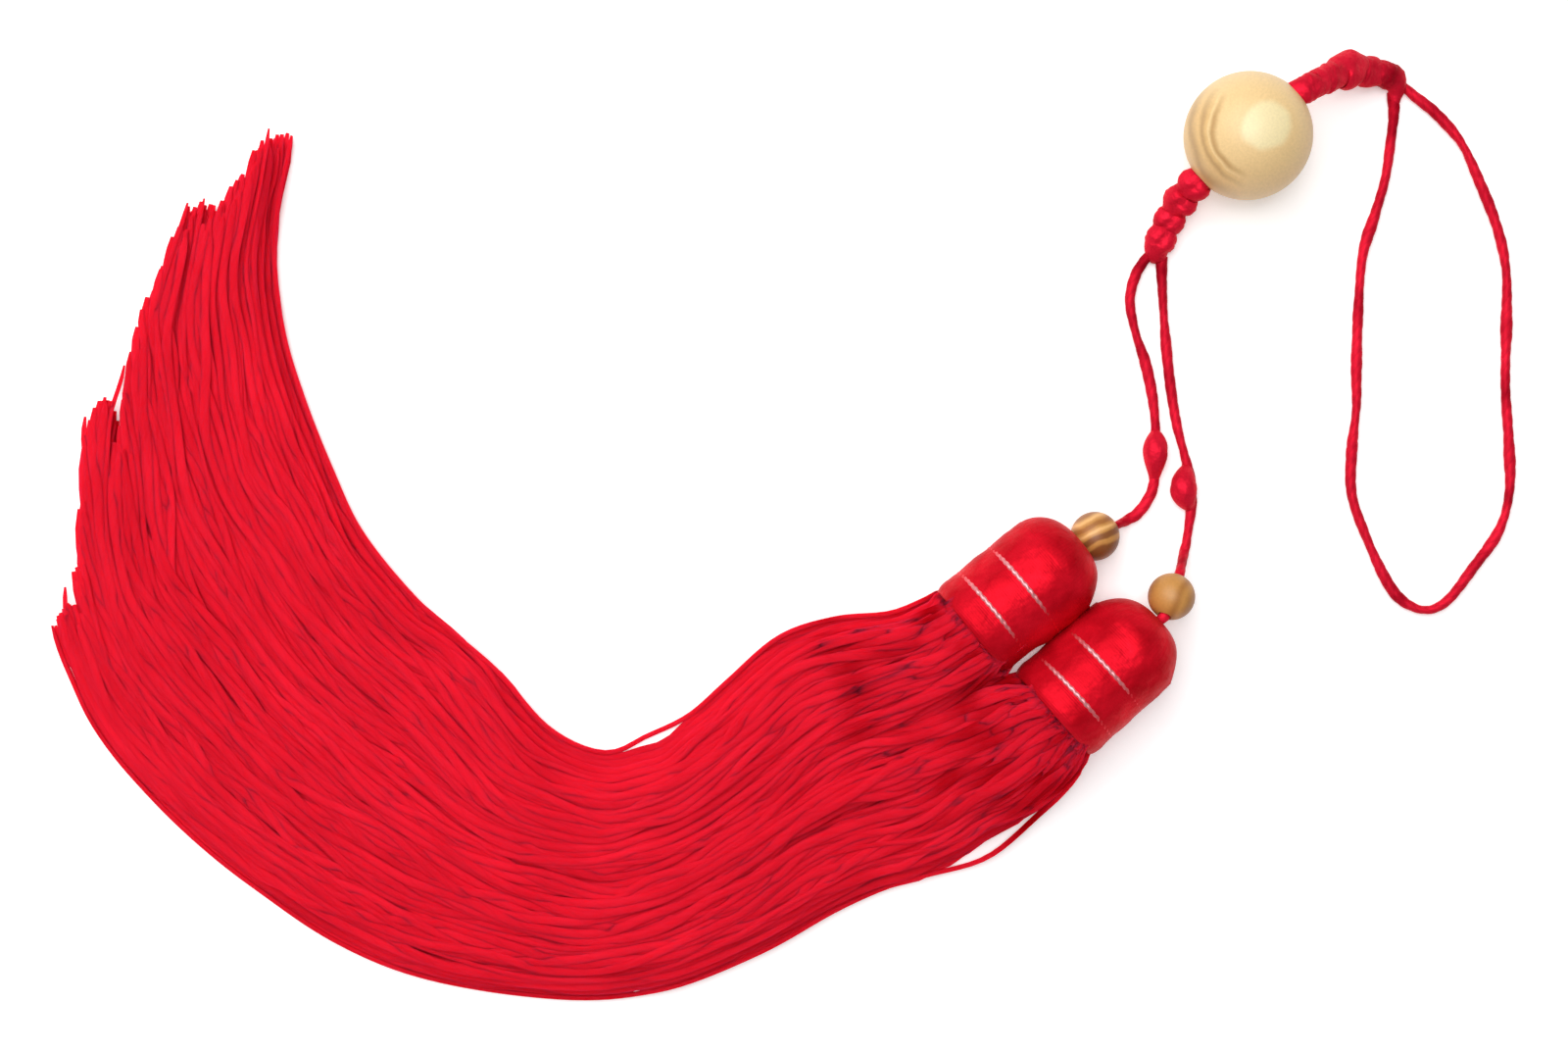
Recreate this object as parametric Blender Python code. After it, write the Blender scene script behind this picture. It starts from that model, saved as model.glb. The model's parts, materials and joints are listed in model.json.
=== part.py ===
"""A double sword tassel of red silk yarn, laid out on a table.

Two tassels hang from one doubled cord. The cord makes a hanging loop, a chain
of knots, passes a turned wooden ball, makes a second chain of knots and parts
into two drop cords. Each drop cord has a stopper knot and a small wooden bead,
and ends in the domed head of a tassel.

Units are metres and +Z is up. The origin is on the table, under the middle of
everything but the cords. Tables are in millimetres, as their MM factor shows.
"""

import math

import bmesh
import bpy
from mathutils import Matrix, Vector

MM = 0.001
GAP = 0.3 * MM  # between any two pieces
# Middle of everything but the cords, in the drawing's plane, set on the origin
MIDDLE = Vector((0.208, -0.272, 0)) * MM

# Cord
CORD_RADIUS = 0.9 * MM
CORD_REST = CORD_RADIUS + 0.02 * MM  # height of a cord that lies on the table
CORD_STEP = 4.3 * MM  # between the points of a cord's tube

# Heads: a thin wound cap over a core of yarn, with a dome that the cord enters
HEAD_STEPS = 24
HEAD_RADIUS = 9.3 * MM
HEAD_BARREL = 18.1 * MM  # the straight part
HEAD_DOME = 6.1 * MM
HEAD_LENGTH = HEAD_BARREL + HEAD_DOME
CAP_WALL = 0.9 * MM
DOME_WALL = 2.2 * MM
CORD_HOLE = CORD_RADIUS + GAP
HOLE_MOUTH = 2.4 * MM
HOLE_LIP = 1.6 * MM  # from the dome's top down to where its hole is narrowest
# A facet of the turned head faces down, so the axis is this high
HEAD_HEIGHT = HEAD_RADIUS * math.cos(math.pi / HEAD_STEPS)

# Metal threads, each in a groove round the head
THREAD_PLACES = (5.2 * MM, 12.1 * MM)  # from the rim
THREAD_WIDTH = 0.7 * MM
THREAD_THICKNESS = 0.2 * MM
THREAD_INSET = 0.02 * MM  # its outside lies this far below the cap's
GROOVE_WIDTH = THREAD_WIDTH + 2 * GAP
GROOVE_DEPTH = 0.55 * MM

# Wooden pieces
BALL_RADIUS = 10.8 * MM
BALL_SINK = 0.2 * MM  # how much of the ball its flat spot takes away
BALL_BORE = 2.2 * MM
BALL_CENTRE = Vector((88.5, 65.7, (BALL_RADIUS - BALL_SINK) / MM)) * MM
BALL_HEADING = 43  # degrees from +X, seen from above
BALL_TILT = 12  # degrees that the bore rises along its heading
BEAD_RADIUS = 4.0 * MM
BEAD_BORE = CORD_RADIUS + GAP

# Yarn core and fringe
ROOT_RADIUS = (HEAD_RADIUS - CAP_WALL) * math.cos(math.pi / HEAD_STEPS) - GAP
ROOT_SPACE = 2.0 * MM  # between the root and the inside of the dome's edge
ROOT_DEPTH = HEAD_BARREL - ROOT_SPACE
COLUMNS = 11
ROWS = 4
FRINGE_STATIONS = (1, 2.2, 3.5, 4.8, 6.1, 7.4, 8.6, 9.8, 11, 12.3, 13.7, 15.1, 16.2)
SETTLE_RIBS = 3.6  # over how many ribs the round bundle settles flat
EDGE_SHARE = 0.42  # thickness at the fringe's edges, of that in its middle
WAVE = 0.021  # how far locks wander sideways, as a share of the fringe
TIP_LEVEL = 0.35  # share of the fringe whose tips reach the last rib
TIP_SLOPE = 3.1  # how many ribs short of it the outermost lock ends
TIP_OVERHANG = -0.05
TIP_RAGGED = 0.22
TIP_RUN = 0.3  # least run from a lock's last section to its tip

# Heads: name, rim centre x, y (mm), heading of the dome (degrees from +X)
HEADS = (
    ("left", 41.7, -18.3, 39.0),
    ("right", 55.7, -32.4, 42.0),
)

# Beads, from the apex of their head's dome: ahead, to the right (mm), height of
# the centre (mm), and the bore's heading and fall away from the head (degrees)
BEADS = (
    ("left", 3.5, 0.95, 5.2, 25.0, 42.0),
    ("right", 4.1, -1.45, 8.3, 66.0, 22.0),
)

# Ribs across the fringe, from the heads to the tips (mm): the inner edge, the
# outer edge and the thickness in the middle
RIBS = (
    # inner x, y, outer x, y, thickness
    (33.2, -12.9, 60.4, -42.8, 15.0),
    (27.6, -15.0, 55.5, -48.7, 12.6),
    (18.4, -15.9, 46.3, -56.2, 10.6),
    (9.0, -19.1, 33.6, -60.4, 8.8),
    (0.0, -26.9, 19.9, -66.6, 7.6),
    (-6.9, -33.2, 5.7, -74.4, 6.9),
    (-13.7, -37.5, -10.4, -80.6, 6.5),
    (-20.8, -39.3, -27.3, -82.3, 6.3),
    (-30.5, -34.9, -49.4, -79.4, 6.1),
    (-40.5, -23.9, -66.8, -72.8, 5.9),
    (-52.4, -13.7, -83.8, -61.5, 5.6),
    (-62.6, -1.4, -98.8, -48.2, 5.2),
    (-68.1, 9.9, -110.2, -34.0, 4.8),
    (-72.9, 22.0, -116.9, -16.9, 4.3),
    (-76.3, 33.9, -118.8, -1.7, 3.8),
    (-77.8, 49.2, -118.0, 14.4, 3.3),
    (-74.8, 67.5, -114.6, 32.2, 2.8),
)

# Knots of the two chains, from the ball outwards (mm): centre, width and length
LOWER_KNOTS = (
    (79.4, 57.1, 7.9, 6.0, 3.7),
    (77.8, 55.3, 5.2, 6.1, 3.6),
    (76.4, 52.4, 3.2, 5.5, 3.6),
    (75.0, 49.1, 2.3, 5.4, 3.6),
)
LOWER_END = (74.4, 46.9, 1.35)
UPPER_KNOTS = (
    (98.5, 73.7, 12.7, 5.0, 3.4),
    (101.4, 75.2, 10.7, 5.2, 3.4),
    (104.4, 76.8, 8.1, 6.2, 3.7),
    (107.7, 77.9, 5.6, 6.6, 3.7),
    (111.1, 77.8, 3.5, 5.4, 3.6),
    (114.4, 77.2, 2.1, 4.8, 3.2),
)
UPPER_END = (115.9, 75.7, 1.35)
KNOT_SIDES = 12
KNOT_FLATTEN = 0.8  # height of a knot, of its width
KNOT_SLANT = 0.22  # how much further its left lobe lies along the chain
KNOT_GROOVE = 0.14  # depth of the valley between its two lobes
WAIST = (1.8 * MM, 1.3 * MM)  # half width and half height of the doubled cord
BORE_SINK = 1.0 * MM  # how deep in the ball the doubled cord starts to swell
MEETING_DEPTH = 3.0 * MM  # how deep in the ball the two chains meet

# Route of the hanging loop on the table (mm)
LOOP_ROUTE = (
    (115.3, 74.8), (115.6, 71.5), (115.1, 66.8), (114.1, 59.9), (112.3, 53.6),
    (110.2, 46.6), (109.4, 36.6), (109.1, 26.6), (109.1, 20.4), (108.3, 12.7),
    (108.3, 5.3), (110.7, -1.9), (114.2, -9.5), (117.1, -13.2), (121.1, -14.8),
    (124.9, -13.1), (129.3, -7.5), (133.8, -1.0), (135.6, 5.9), (135.5, 14.1),
    (134.9, 24.1), (135.1, 35.5), (135.0, 44.1), (133.4, 51.6), (130.2, 59.8),
    (127.2, 66.1), (123.0, 71.0), (119.2, 74.1), (117.0, 76.0),
)
# Routes of the drop cords, from the knots to just short of their beads (mm)
LEFT_ROUTE = (
    (73.35, 46.7), (71.9, 45.0), (70.6, 42.4), (69.9, 38.5), (70.9, 33.1),
    (72.5, 28.2), (73.7, 22.7), (74.3, 17.3), (74.3, 12.0), (74.0, 7.0),
    (73.1, 4.5), (71.4, 2.1), (69.5, 0.8),
)
RIGHT_ROUTE = (
    (75.4, 46.3), (75.4, 43.6), (75.5, 40.9), (75.8, 35.5), (76.3, 29.5),
    (77.0, 23.4), (78.0, 17.3), (79.2, 12.6), (79.8, 10.2), (80.4, 7.0),
    (80.5, 3.2), (80.0, -0.9), (79.3, -4.6),
)
# Straight ends of a drop cord, beyond a bead on its two sides and inside a dome
BEAD_FAR_END = 0.4 * MM
BEAD_NEAR_END = 0.1 * MM
DOME_ENTRY = 1.4 * MM
DOME_END = 2.0 * MM
# Stopper knots: how far along the cord they lie, their length and radius (mm)
STOPPERS = {"left": (36.6, 8.6, 2.1), "right": (40.9, 7.2, 2.3)}


def material(name, colour, roughness, metallic=0.0):
    paint = bpy.data.materials.new(name)
    paint.use_nodes = True
    shader = paint.node_tree.nodes["Principled BSDF"]
    shader.inputs["Base Color"].default_value = (*colour, 1)
    shader.inputs["Roughness"].default_value = roughness
    shader.inputs["Metallic"].default_value = metallic
    paint.diffuse_color = (*colour, 1)
    return paint


def finish(name, bm, paint, parent):
    """Make an object of a closed bmesh, with its faces pointing out."""
    bmesh.ops.recalc_face_normals(bm, faces=bm.faces)
    if bm.calc_volume(signed=True) < 0:
        bmesh.ops.reverse_faces(bm, faces=bm.faces)
    mesh = bpy.data.meshes.new(name)
    bm.to_mesh(mesh)
    bm.free()
    mesh.shade_smooth()
    mesh.set_sharp_from_angle(angle=math.radians(40))
    mesh.materials.append(paint)
    piece = bpy.data.objects.new(name, mesh)
    bpy.context.collection.objects.link(piece)
    piece.parent = parent
    return piece


def heading(degrees, rise=0.0):
    """Unit vector of a compass-like heading from +X, rising by so many degrees."""
    turn, climb = math.radians(degrees), math.radians(rise)
    flat = math.cos(climb)
    return Vector((flat * math.cos(turn), flat * math.sin(turn), math.sin(climb)))


def placed(origin, axis, roll=0.0):
    """Matrix that lays local Z along axis, with local X upwards, then rolls."""
    across = Vector((0, 0, 1)).cross(axis).normalized()
    up = axis.cross(across)
    frame = Matrix((up, across, axis)).transposed().to_4x4()
    return Matrix.Translation(origin) @ frame @ Matrix.Rotation(roll, 4, "Z")


def smooth_route(points, t):
    """Catmull-Rom value of a list of equal-length tuples at parameter t."""
    last = len(points) - 1
    i = min(max(int(math.floor(t)), 0), last - 1)
    f = t - i
    a, b, c, d = (points[min(max(i + k, 0), last)] for k in (-1, 0, 1, 2))
    if i == 0:
        a = [2 * p - q for p, q in zip(b, c)]
    if i == last - 1:
        d = [2 * q - p for p, q in zip(b, c)]
    return [
        q + 0.5 * f * (r - p + f * (2 * p - 5 * q + 4 * r - s + f * (3 * (q - r) + s - p)))
        for p, q, r, s in zip(a, b, c, d)
    ]


def stepped(points, step):
    """Points of a smooth route, about a step apart, which keep the route's own."""
    found = [Vector(points[0])]
    for i in range(len(points) - 1):
        span = (Vector(points[i + 1]) - Vector(points[i])).length
        pieces = max(1, round(span / step))
        for k in range(1, pieces + 1):
            found.append(Vector(smooth_route(points, i + k / pieces)))
    return found


def turned(name, outline, steps, matrix, paint, parent, flat=False):
    """Turn a closed outline of (radius, height) once round local Z.

    With flat, what lies under the table is cut off to leave a flat spot.
    """
    bm = bmesh.new()
    ring = [bm.verts.new((radius, 0, height)) for radius, height in outline]
    edges = [bm.edges.new((a, b)) for a, b in zip(ring, ring[1:] + ring[:1])]
    bmesh.ops.spin(
        bm, geom=ring + edges, cent=(0, 0, 0), axis=(0, 0, 1), dvec=(0, 0, 0),
        angle=2 * math.pi, steps=steps, use_merge=True,
    )
    bmesh.ops.transform(bm, matrix=matrix, verts=bm.verts)
    if flat:
        everything = bm.verts[:] + bm.edges[:] + bm.faces[:]
        cut = bmesh.ops.bisect_plane(
            bm, geom=everything, plane_co=(0, 0, 0), plane_no=(0, 0, -1), clear_outer=True
        )
        rim = [item for item in cut["geom_cut"] if isinstance(item, bmesh.types.BMEdge)]
        bmesh.ops.edgeloop_fill(bm, edges=rim)
    return finish(name, bm, paint, parent)


def arc(radius_r, radius_h, centre_h, start, end, count):
    """Points of an elliptical arc as (radius, height), angles from the equator."""
    angles = [math.radians(start + (end - start) * k / (count - 1)) for k in range(count)]
    return [(radius_r * math.cos(a), centre_h + radius_h * math.sin(a)) for a in angles]


# Heads


def cap_outline():
    """Wound cap from its rim up the outside, over the dome and back up inside."""
    outside = [(HEAD_RADIUS, 0.0)]
    for place in THREAD_PLACES:
        low, high = place - GROOVE_WIDTH / 2, place + GROOVE_WIDTH / 2
        floor = HEAD_RADIUS - GROOVE_DEPTH
        outside += [(HEAD_RADIUS, low), (floor, low), (floor, high), (HEAD_RADIUS, high)]
    mouth_angle = math.degrees(math.acos(HOLE_MOUTH / HEAD_RADIUS))
    dome = arc(HEAD_RADIUS, HEAD_DOME, HEAD_BARREL, 0, mouth_angle, 6)
    wall = HEAD_RADIUS - CAP_WALL
    inside_dome = HEAD_DOME - DOME_WALL
    hole_angle = math.degrees(math.acos(CORD_HOLE / wall))
    inside = arc(wall, inside_dome, HEAD_BARREL, hole_angle, 0, 4)
    throat = (CORD_HOLE, HEAD_LENGTH - HOLE_LIP)
    return outside + dome + [throat] + inside + [(wall, 0.0)]


def thread_outline(place):
    outer = HEAD_RADIUS - THREAD_INSET
    inner = outer - THREAD_THICKNESS
    low, high = place - THREAD_WIDTH / 2, place + THREAD_WIDTH / 2
    return [(outer, low), (outer, high), (inner, high), (inner, low)]


def head(name, x, y, degrees, satin, metal, parent):
    rim = Vector((x * MM, y * MM, HEAD_HEIGHT))
    frame = placed(rim, heading(degrees), math.pi / HEAD_STEPS)
    turned(f"head_cap_{name}", cap_outline(), HEAD_STEPS, frame, satin, parent)
    for place, where in zip(THREAD_PLACES, ("low", "high")):
        outline = thread_outline(place)
        turned(f"metal_thread_{name}_{where}", outline, HEAD_STEPS, frame, metal, parent)


# Fringe


def fringe_stations(side):
    """Table of one fringe's sections, from its root to the last rib (metres).

    Columns: left x, y, right x, y, underside z, top z, roundness, and how much
    the section is one half of the fringe that both tassels share.
    """
    _, x, y, degrees = HEADS[side]
    across = heading(degrees - 90) * ROOT_RADIUS
    left, right = Vector((x, y)) * MM - across.xy, Vector((x, y)) * MM + across.xy
    low, high = HEAD_HEIGHT - ROOT_RADIUS, HEAD_HEIGHT + ROOT_RADIUS
    table = [(*left, *right, low, high, 1.0, 0.0)]
    for i, (inner_x, inner_y, outer_x, outer_y, thickness) in enumerate(RIBS):
        inner, outer = Vector((inner_x, inner_y)) * MM, Vector((outer_x, outer_y)) * MM
        middle = (inner + outer) / 2
        left, right = ((inner, middle), (middle, outer))[side]
        lift = low * max(0.0, 1 - (i + 1) / 2)
        roundness = max(0.0, 1 - (i + 1) / SETTLE_RIBS)
        shared = min(1.0, i / SETTLE_RIBS)
        table.append((*left, *right, lift, thickness * MM, roundness, shared))
    return table


def fringe_thickness(side, u, shared):
    """Share of the full thickness at u, which runs 0 to 1 across one fringe."""
    whole = (u + side) / 2
    alone_share = 1 - abs(2 * u - 1) ** 2.5
    whole_share = 1 - abs(2 * whole - 1) ** 2.5
    share = alone_share + (whole_share - alone_share) * shared
    return EDGE_SHARE + (1 - EDGE_SHARE) * share


def laid(side, table, u, v, t):
    """Where a point of the combed fringe lies: u across, v up, t along."""
    if t < 0:
        back = heading(HEADS[side][3]) * (-t * ROOT_DEPTH)
        return laid(side, table, u, v, 0) + back
    left_x, left_y, right_x, right_y, low, high, roundness, shared = smooth_route(table, t)
    roundness, low = max(0.0, roundness), max(0.0, low)
    settle = min(1.0, t / SETTLE_RIBS)
    u += WAVE * settle * math.sin(math.pi * u) * math.sin(9 * u + 0.55 * t + 2 * side)
    across, up = 2 * u - 1, 2 * v - 1
    middle = Vector(((left_x + right_x) / 2, (left_y + right_y) / 2, (low + high) / 2))
    half = Vector(((right_x - left_x) / 2, (right_y - left_y) / 2, 0))
    rise = Vector((0, 0, (high - low) / 2))
    disc = (
        middle
        + half * across * math.sqrt(1 - up * up / 2)
        + rise * up * math.sqrt(1 - across * across / 2)
    )
    thick = (high - low) * fringe_thickness(side, u, shared)
    flat = middle + half * across
    flat.z = low + v * thick
    return flat.lerp(disc, roundness)


def tip_place(side, column, row):
    """How far along its lock ends, so that the tips make one ragged slope."""
    whole = ((column + 0.5) / COLUMNS + side) / 2
    slope = TIP_SLOPE * max(0.0, (whole - TIP_LEVEL) / (1 - TIP_LEVEL)) ** 1.8
    ragged = math.sin(12.9 * column + 78.2 * row + 37.7 * side)
    return len(RIBS) + TIP_OVERHANG - slope + TIP_RAGGED * ragged


def fringe(side, yarn, parent):
    """Locks that grow out of one root core, combed straight and then laid.

    Until the last step a vertex holds (u, v, t) in place of its position.
    """
    name = HEADS[side][0]
    table = fringe_stations(side)
    bm = bmesh.new()
    bmesh.ops.create_grid(bm, x_segments=COLUMNS, y_segments=ROWS, size=0.5)
    bmesh.ops.translate(bm, verts=bm.verts, vec=(0.5, 0.5, 0))
    cells = bm.faces[:]
    rim = [edge for edge in bm.edges if edge.is_boundary]
    pulled = bmesh.ops.extrude_edge_only(bm, edges=rim)["geom"]
    for item in pulled:
        if isinstance(item, bmesh.types.BMVert):
            item.co.z = -1
    back = [
        item for item in pulled
        if isinstance(item, bmesh.types.BMEdge) and item.is_boundary
    ]
    bmesh.ops.edgeloop_fill(bm, edges=back)
    for cell in cells:
        middle = cell.calc_center_median()
        column, row = int(middle.x * COLUMNS), int(middle.y * ROWS)
        tip = tip_place(side, column, row)
        stations = [0, *(t for t in FRINGE_STATIONS if t < tip - TIP_RUN), tip]
        for t in stations:
            grown = bmesh.ops.extrude_discrete_faces(bm, faces=[cell])
            cell = grown["faces"][0]
            left_x, left_y, right_x, right_y, low, high, *_ = smooth_route(table, t)
            width = math.hypot(right_x - left_x, right_y - left_y)
            trim_u, trim_v = GAP / 2 / width, GAP / 2 / (high - low) / EDGE_SHARE
            for vert in cell.verts:
                out_u = 1 if vert.co.x > middle.x else -1
                out_v = 1 if vert.co.y > middle.y else -1
                vert.co.x = middle.x + out_u * (0.5 / COLUMNS - trim_u)
                vert.co.y = middle.y + out_v * (0.5 / ROWS - trim_v)
                if row == 0 and out_v < 0 and t >= 1:
                    vert.co.y = 0
                vert.co.z = t
    for vert in bm.verts:
        vert.co = laid(side, table, *vert.co)
    return finish(f"fringe_{name}", bm, yarn, parent)


# Knots


def knot_stations(bore, knots, end):
    """Rings of a chain: centre, how far its knot has swollen, and its width (metres).

    The chain starts as a doubled cord that runs through the bore's points.
    """
    waist = WAIST[0] / MM * 2
    spots = [(*(spot / MM), 0.0, waist) for spot in bore]
    for i, (x, y, z, width, length) in enumerate(knots):
        after = knots[i + 1][:3] if i + 1 < len(knots) else end
        before = knots[i - 1][:3] if i else bore[-1] / MM
        run = (Vector(after) - Vector(before)).normalized() * length
        for share in (-0.47, -0.36, -0.15, 0.15, 0.36):
            swell = math.sqrt(1 - (share / 0.5) ** 2)
            spots.append((*(Vector((x, y, z)) + run * share), swell, width))
    spots.append((*end, 0.0, waist))
    return [(Vector(spot[:3]) * MM, spot[3], spot[4] * MM) for spot in spots]


def knot_ring(bm, centre, along, swell, width):
    """One ring of a chain: two lobes side by side, as far as the knot has swollen."""
    side = along.cross(Vector((0, 0, 1))).normalized()
    up = side.cross(along)
    half_width = WAIST[0] + (width / 2 - WAIST[0]) * swell
    half_height = WAIST[1] + (width / 2 * KNOT_FLATTEN - WAIST[1]) * swell
    verts = []
    for k in range(KNOT_SIDES):
        angle = 2 * math.pi * k / KNOT_SIDES
        across, rise = math.cos(angle), math.sin(angle)
        valley = 1 - KNOT_GROOVE * swell * math.exp(-((across / 0.3) ** 2))
        spot = centre + side * across * half_width + up * rise * half_height * valley
        spot -= along * KNOT_SLANT * across * half_width * swell
        spot.z = max(spot.z, 0.0)
        verts.append(bm.verts.new(spot))
    return verts


def chain(name, rings, paint, parent):
    bm = bmesh.new()
    last = None
    for i, (centre, swell, width) in enumerate(rings):
        before, after = rings[max(i - 1, 0)][0], rings[min(i + 1, len(rings) - 1)][0]
        ring = knot_ring(bm, centre, (after - before).normalized(), swell, width)
        if last:
            for k in range(KNOT_SIDES):
                n = (k + 1) % KNOT_SIDES
                bm.faces.new((last[k], last[n], ring[n], ring[k]))
        else:
            bm.faces.new(ring[::-1])
        last = ring
    bm.faces.new(last)
    return finish(name, bm, paint, parent)


def chains(silk, parent):
    """Both chains of knots. The lower one holds the doubled cord in the ball."""
    through = heading(BALL_HEADING, BALL_TILT)
    mouth = through * (BALL_RADIUS - BORE_SINK)
    meeting = BALL_CENTRE + through * (BALL_RADIUS - MEETING_DEPTH)
    lower_core = (meeting, BALL_CENTRE - mouth)
    upper_core = (meeting + through * GAP, BALL_CENTRE + mouth)
    chain("knots_lower", knot_stations(lower_core, LOWER_KNOTS, LOWER_END), silk, parent)
    chain("knots_upper", knot_stations(upper_core, UPPER_KNOTS, UPPER_END), silk, parent)


# Wood


def ball_outline(radius, bore, count):
    """A ball with a bore, from one end of the bore to the other and back."""
    mouth = math.degrees(math.acos(bore / radius))
    outside = arc(radius, radius, 0.0, -mouth, mouth, count)
    low, high = outside[0][1], outside[-1][1]
    return outside + [(bore, high + (low - high) / 2)]


def bead_frame(side):
    """Centre of a bead and the direction of its bore, away from the head."""
    _, x, y, degrees = HEADS[side]
    _, ahead, right, height, bore_heading, fall = BEADS[side]
    apex = Vector((x, y, 0)) * MM + heading(degrees) * HEAD_LENGTH
    centre = apex + heading(degrees) * ahead * MM + heading(degrees - 90) * right * MM
    centre.z = height * MM
    return centre, heading(bore_heading, -fall)


def beads(wood, parent):
    for side, row in enumerate(BEADS):
        centre, bore = bead_frame(side)
        outline = ball_outline(BEAD_RADIUS, BEAD_BORE, 9)
        turned(f"bead_{row[0]}", outline, 16, placed(centre, bore), wood, parent)


# Cords


def cord(name, points, paint, parent, stopper=None):
    """A tube of cord, which a stopper knot swells for a short length."""
    curve = bpy.data.curves.new(name, "CURVE")
    curve.dimensions = "3D"
    curve.bevel_depth = CORD_RADIUS
    curve.bevel_resolution = 2
    curve.use_fill_caps = True
    curve.materials.append(paint)
    spline = curve.splines.new("POLY")
    spline.points.add(len(points) - 1)
    run = 0.0
    for i, point in enumerate(points):
        run += (point - points[i - 1]).length if i else 0.0
        spline.points[i].co = (*point, 1)
        if stopper:
            place, length, radius = (value * MM for value in stopper)
            swell = max(0.0, 1 - (2 * (run - place) / length) ** 2)
            wider = 1 + (radius / CORD_RADIUS - 1) * math.sqrt(swell)
            spline.points[i].radius = wider
            if swell:
                spline.points[i].co.z = CORD_REST * wider
    piece = bpy.data.objects.new(name, curve)
    bpy.context.collection.objects.link(piece)
    piece.parent = parent
    return piece


def drop_cord(side, route, silk, parent):
    """From the lower knots over the table, through the bead and into the dome."""
    name, x, y, degrees = HEADS[side]
    centre, bore = bead_frame(side)
    axis = heading(degrees)
    apex = Vector((x * MM, y * MM, HEAD_HEIGHT)) + axis * HEAD_LENGTH
    ground = [Vector((*spot, CORD_REST / MM)) * MM for spot in route]
    far = centre + bore * (BEAD_RADIUS + BEAD_FAR_END)
    near = centre - bore * (BEAD_RADIUS + BEAD_NEAR_END)
    inside = apex - axis * DOME_ENTRY
    points = stepped([*ground, far], CORD_STEP)
    points += [centre, near, inside, inside - axis * DOME_END]
    cord(f"drop_cord_{name}", points, silk, parent, STOPPERS[name])


def build():
    for old in list(bpy.data.objects):
        bpy.data.objects.remove(old, do_unlink=True)
    tassel = bpy.data.objects.new("tassel", None)
    tassel.location = -MIDDLE
    bpy.context.collection.objects.link(tassel)

    yarn = material("silk_yarn", (0.62, 0.005, 0.025), 0.5)
    satin = material("satin_winding", (0.68, 0.006, 0.028), 0.35)
    silk = material("silk_cord", (0.60, 0.006, 0.026), 0.55)
    metal = material("silver_thread", (0.85, 0.78, 0.78), 0.3, 1.0)
    pale = material("pale_wood", (0.84, 0.62, 0.33), 0.45)
    striped = material("striped_wood", (0.50, 0.27, 0.09), 0.3)

    for side, (name, x, y, degrees) in enumerate(HEADS):
        head(name, x, y, degrees, satin, metal, tassel)
        fringe(side, yarn, tassel)
    beads(striped, tassel)
    bore = placed(BALL_CENTRE, heading(BALL_HEADING, BALL_TILT))
    turned("ball", ball_outline(BALL_RADIUS, BALL_BORE, 13), 24, bore, pale, tassel, True)
    chains(silk, tassel)

    loop = [Vector((*spot, CORD_REST / MM)) * MM for spot in LOOP_ROUTE]
    cord("hanging_loop", stepped(loop, CORD_STEP), silk, tassel)
    drop_cord(0, LEFT_ROUTE, silk, tassel)
    drop_cord(1, RIGHT_ROUTE, silk, tassel)


build()
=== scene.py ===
# %% [markdown]
# # A double silk tassel
#
# This lesson dresses a sword tassel: two fringes of red silk yarn under wound
# heads, two small beads, a turned ball, and a knotted cord with a hanging loop.
# It lies on a table, so every piece rests on the floor or on another piece.
# First the imported part is loaded. It gives the body that each piece rides on
# and the solids that the pieces replace, and neither is changed here.

import json
import math

import bpy
import numpy as np
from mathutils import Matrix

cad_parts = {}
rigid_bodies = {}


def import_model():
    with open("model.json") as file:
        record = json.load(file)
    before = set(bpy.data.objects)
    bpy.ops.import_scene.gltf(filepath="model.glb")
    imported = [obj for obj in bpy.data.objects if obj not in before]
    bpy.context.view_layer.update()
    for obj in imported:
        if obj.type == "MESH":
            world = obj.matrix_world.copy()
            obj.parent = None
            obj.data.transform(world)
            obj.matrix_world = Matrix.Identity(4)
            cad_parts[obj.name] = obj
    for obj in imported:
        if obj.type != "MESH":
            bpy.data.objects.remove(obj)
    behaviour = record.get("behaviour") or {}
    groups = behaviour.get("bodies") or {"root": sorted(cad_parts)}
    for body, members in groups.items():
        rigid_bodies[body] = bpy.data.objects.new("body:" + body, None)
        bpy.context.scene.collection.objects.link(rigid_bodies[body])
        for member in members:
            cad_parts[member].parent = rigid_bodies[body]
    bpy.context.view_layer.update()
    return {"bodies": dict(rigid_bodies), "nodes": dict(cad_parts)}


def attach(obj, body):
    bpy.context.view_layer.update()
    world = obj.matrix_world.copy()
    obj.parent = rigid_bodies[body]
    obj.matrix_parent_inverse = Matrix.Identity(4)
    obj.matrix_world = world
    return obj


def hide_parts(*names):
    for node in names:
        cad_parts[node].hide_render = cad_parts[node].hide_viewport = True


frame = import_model()
BODY = next(iter(frame["bodies"]))
print(f"loaded {len(frame['nodes'])} solids on the body {BODY}")

# %% [markdown]
# ## Sizes
#
# A maker's drawing of this tassel is in millimetres, with the origin beside the
# heads. Blender works in metres. One function moves drawing points to the scene,
# and a smooth curve through the drawing's points gives everything in between.

# %% Drawing and scene
MM = 0.001
DRAWING_ORIGIN = np.array((0.208, -0.272, 0.0))


def in_scene(points):
    """Points of the drawing (mm) as points of the scene (m)."""
    return (np.asarray(points, float) - DRAWING_ORIGIN) * MM


def along(table, t):
    """Smooth values of a table's rows at places t, where row 0 is at 0 and row 1 at 1."""
    table = np.asarray(table, float)
    t = np.asarray(t, float)
    rows = np.vstack([2 * table[0] - table[1], table, 2 * table[-1] - table[-2]])
    i = np.clip(np.floor(t).astype(int), 0, len(table) - 2)
    f = (t - i)[..., None]
    a, b, c, d = rows[i], rows[i + 1], rows[i + 2], rows[i + 3]
    return b + 0.5 * f * (c - a + f * (2 * a - 5 * b + 4 * c - d + f * (3 * (b - c) + d - a)))


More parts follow.
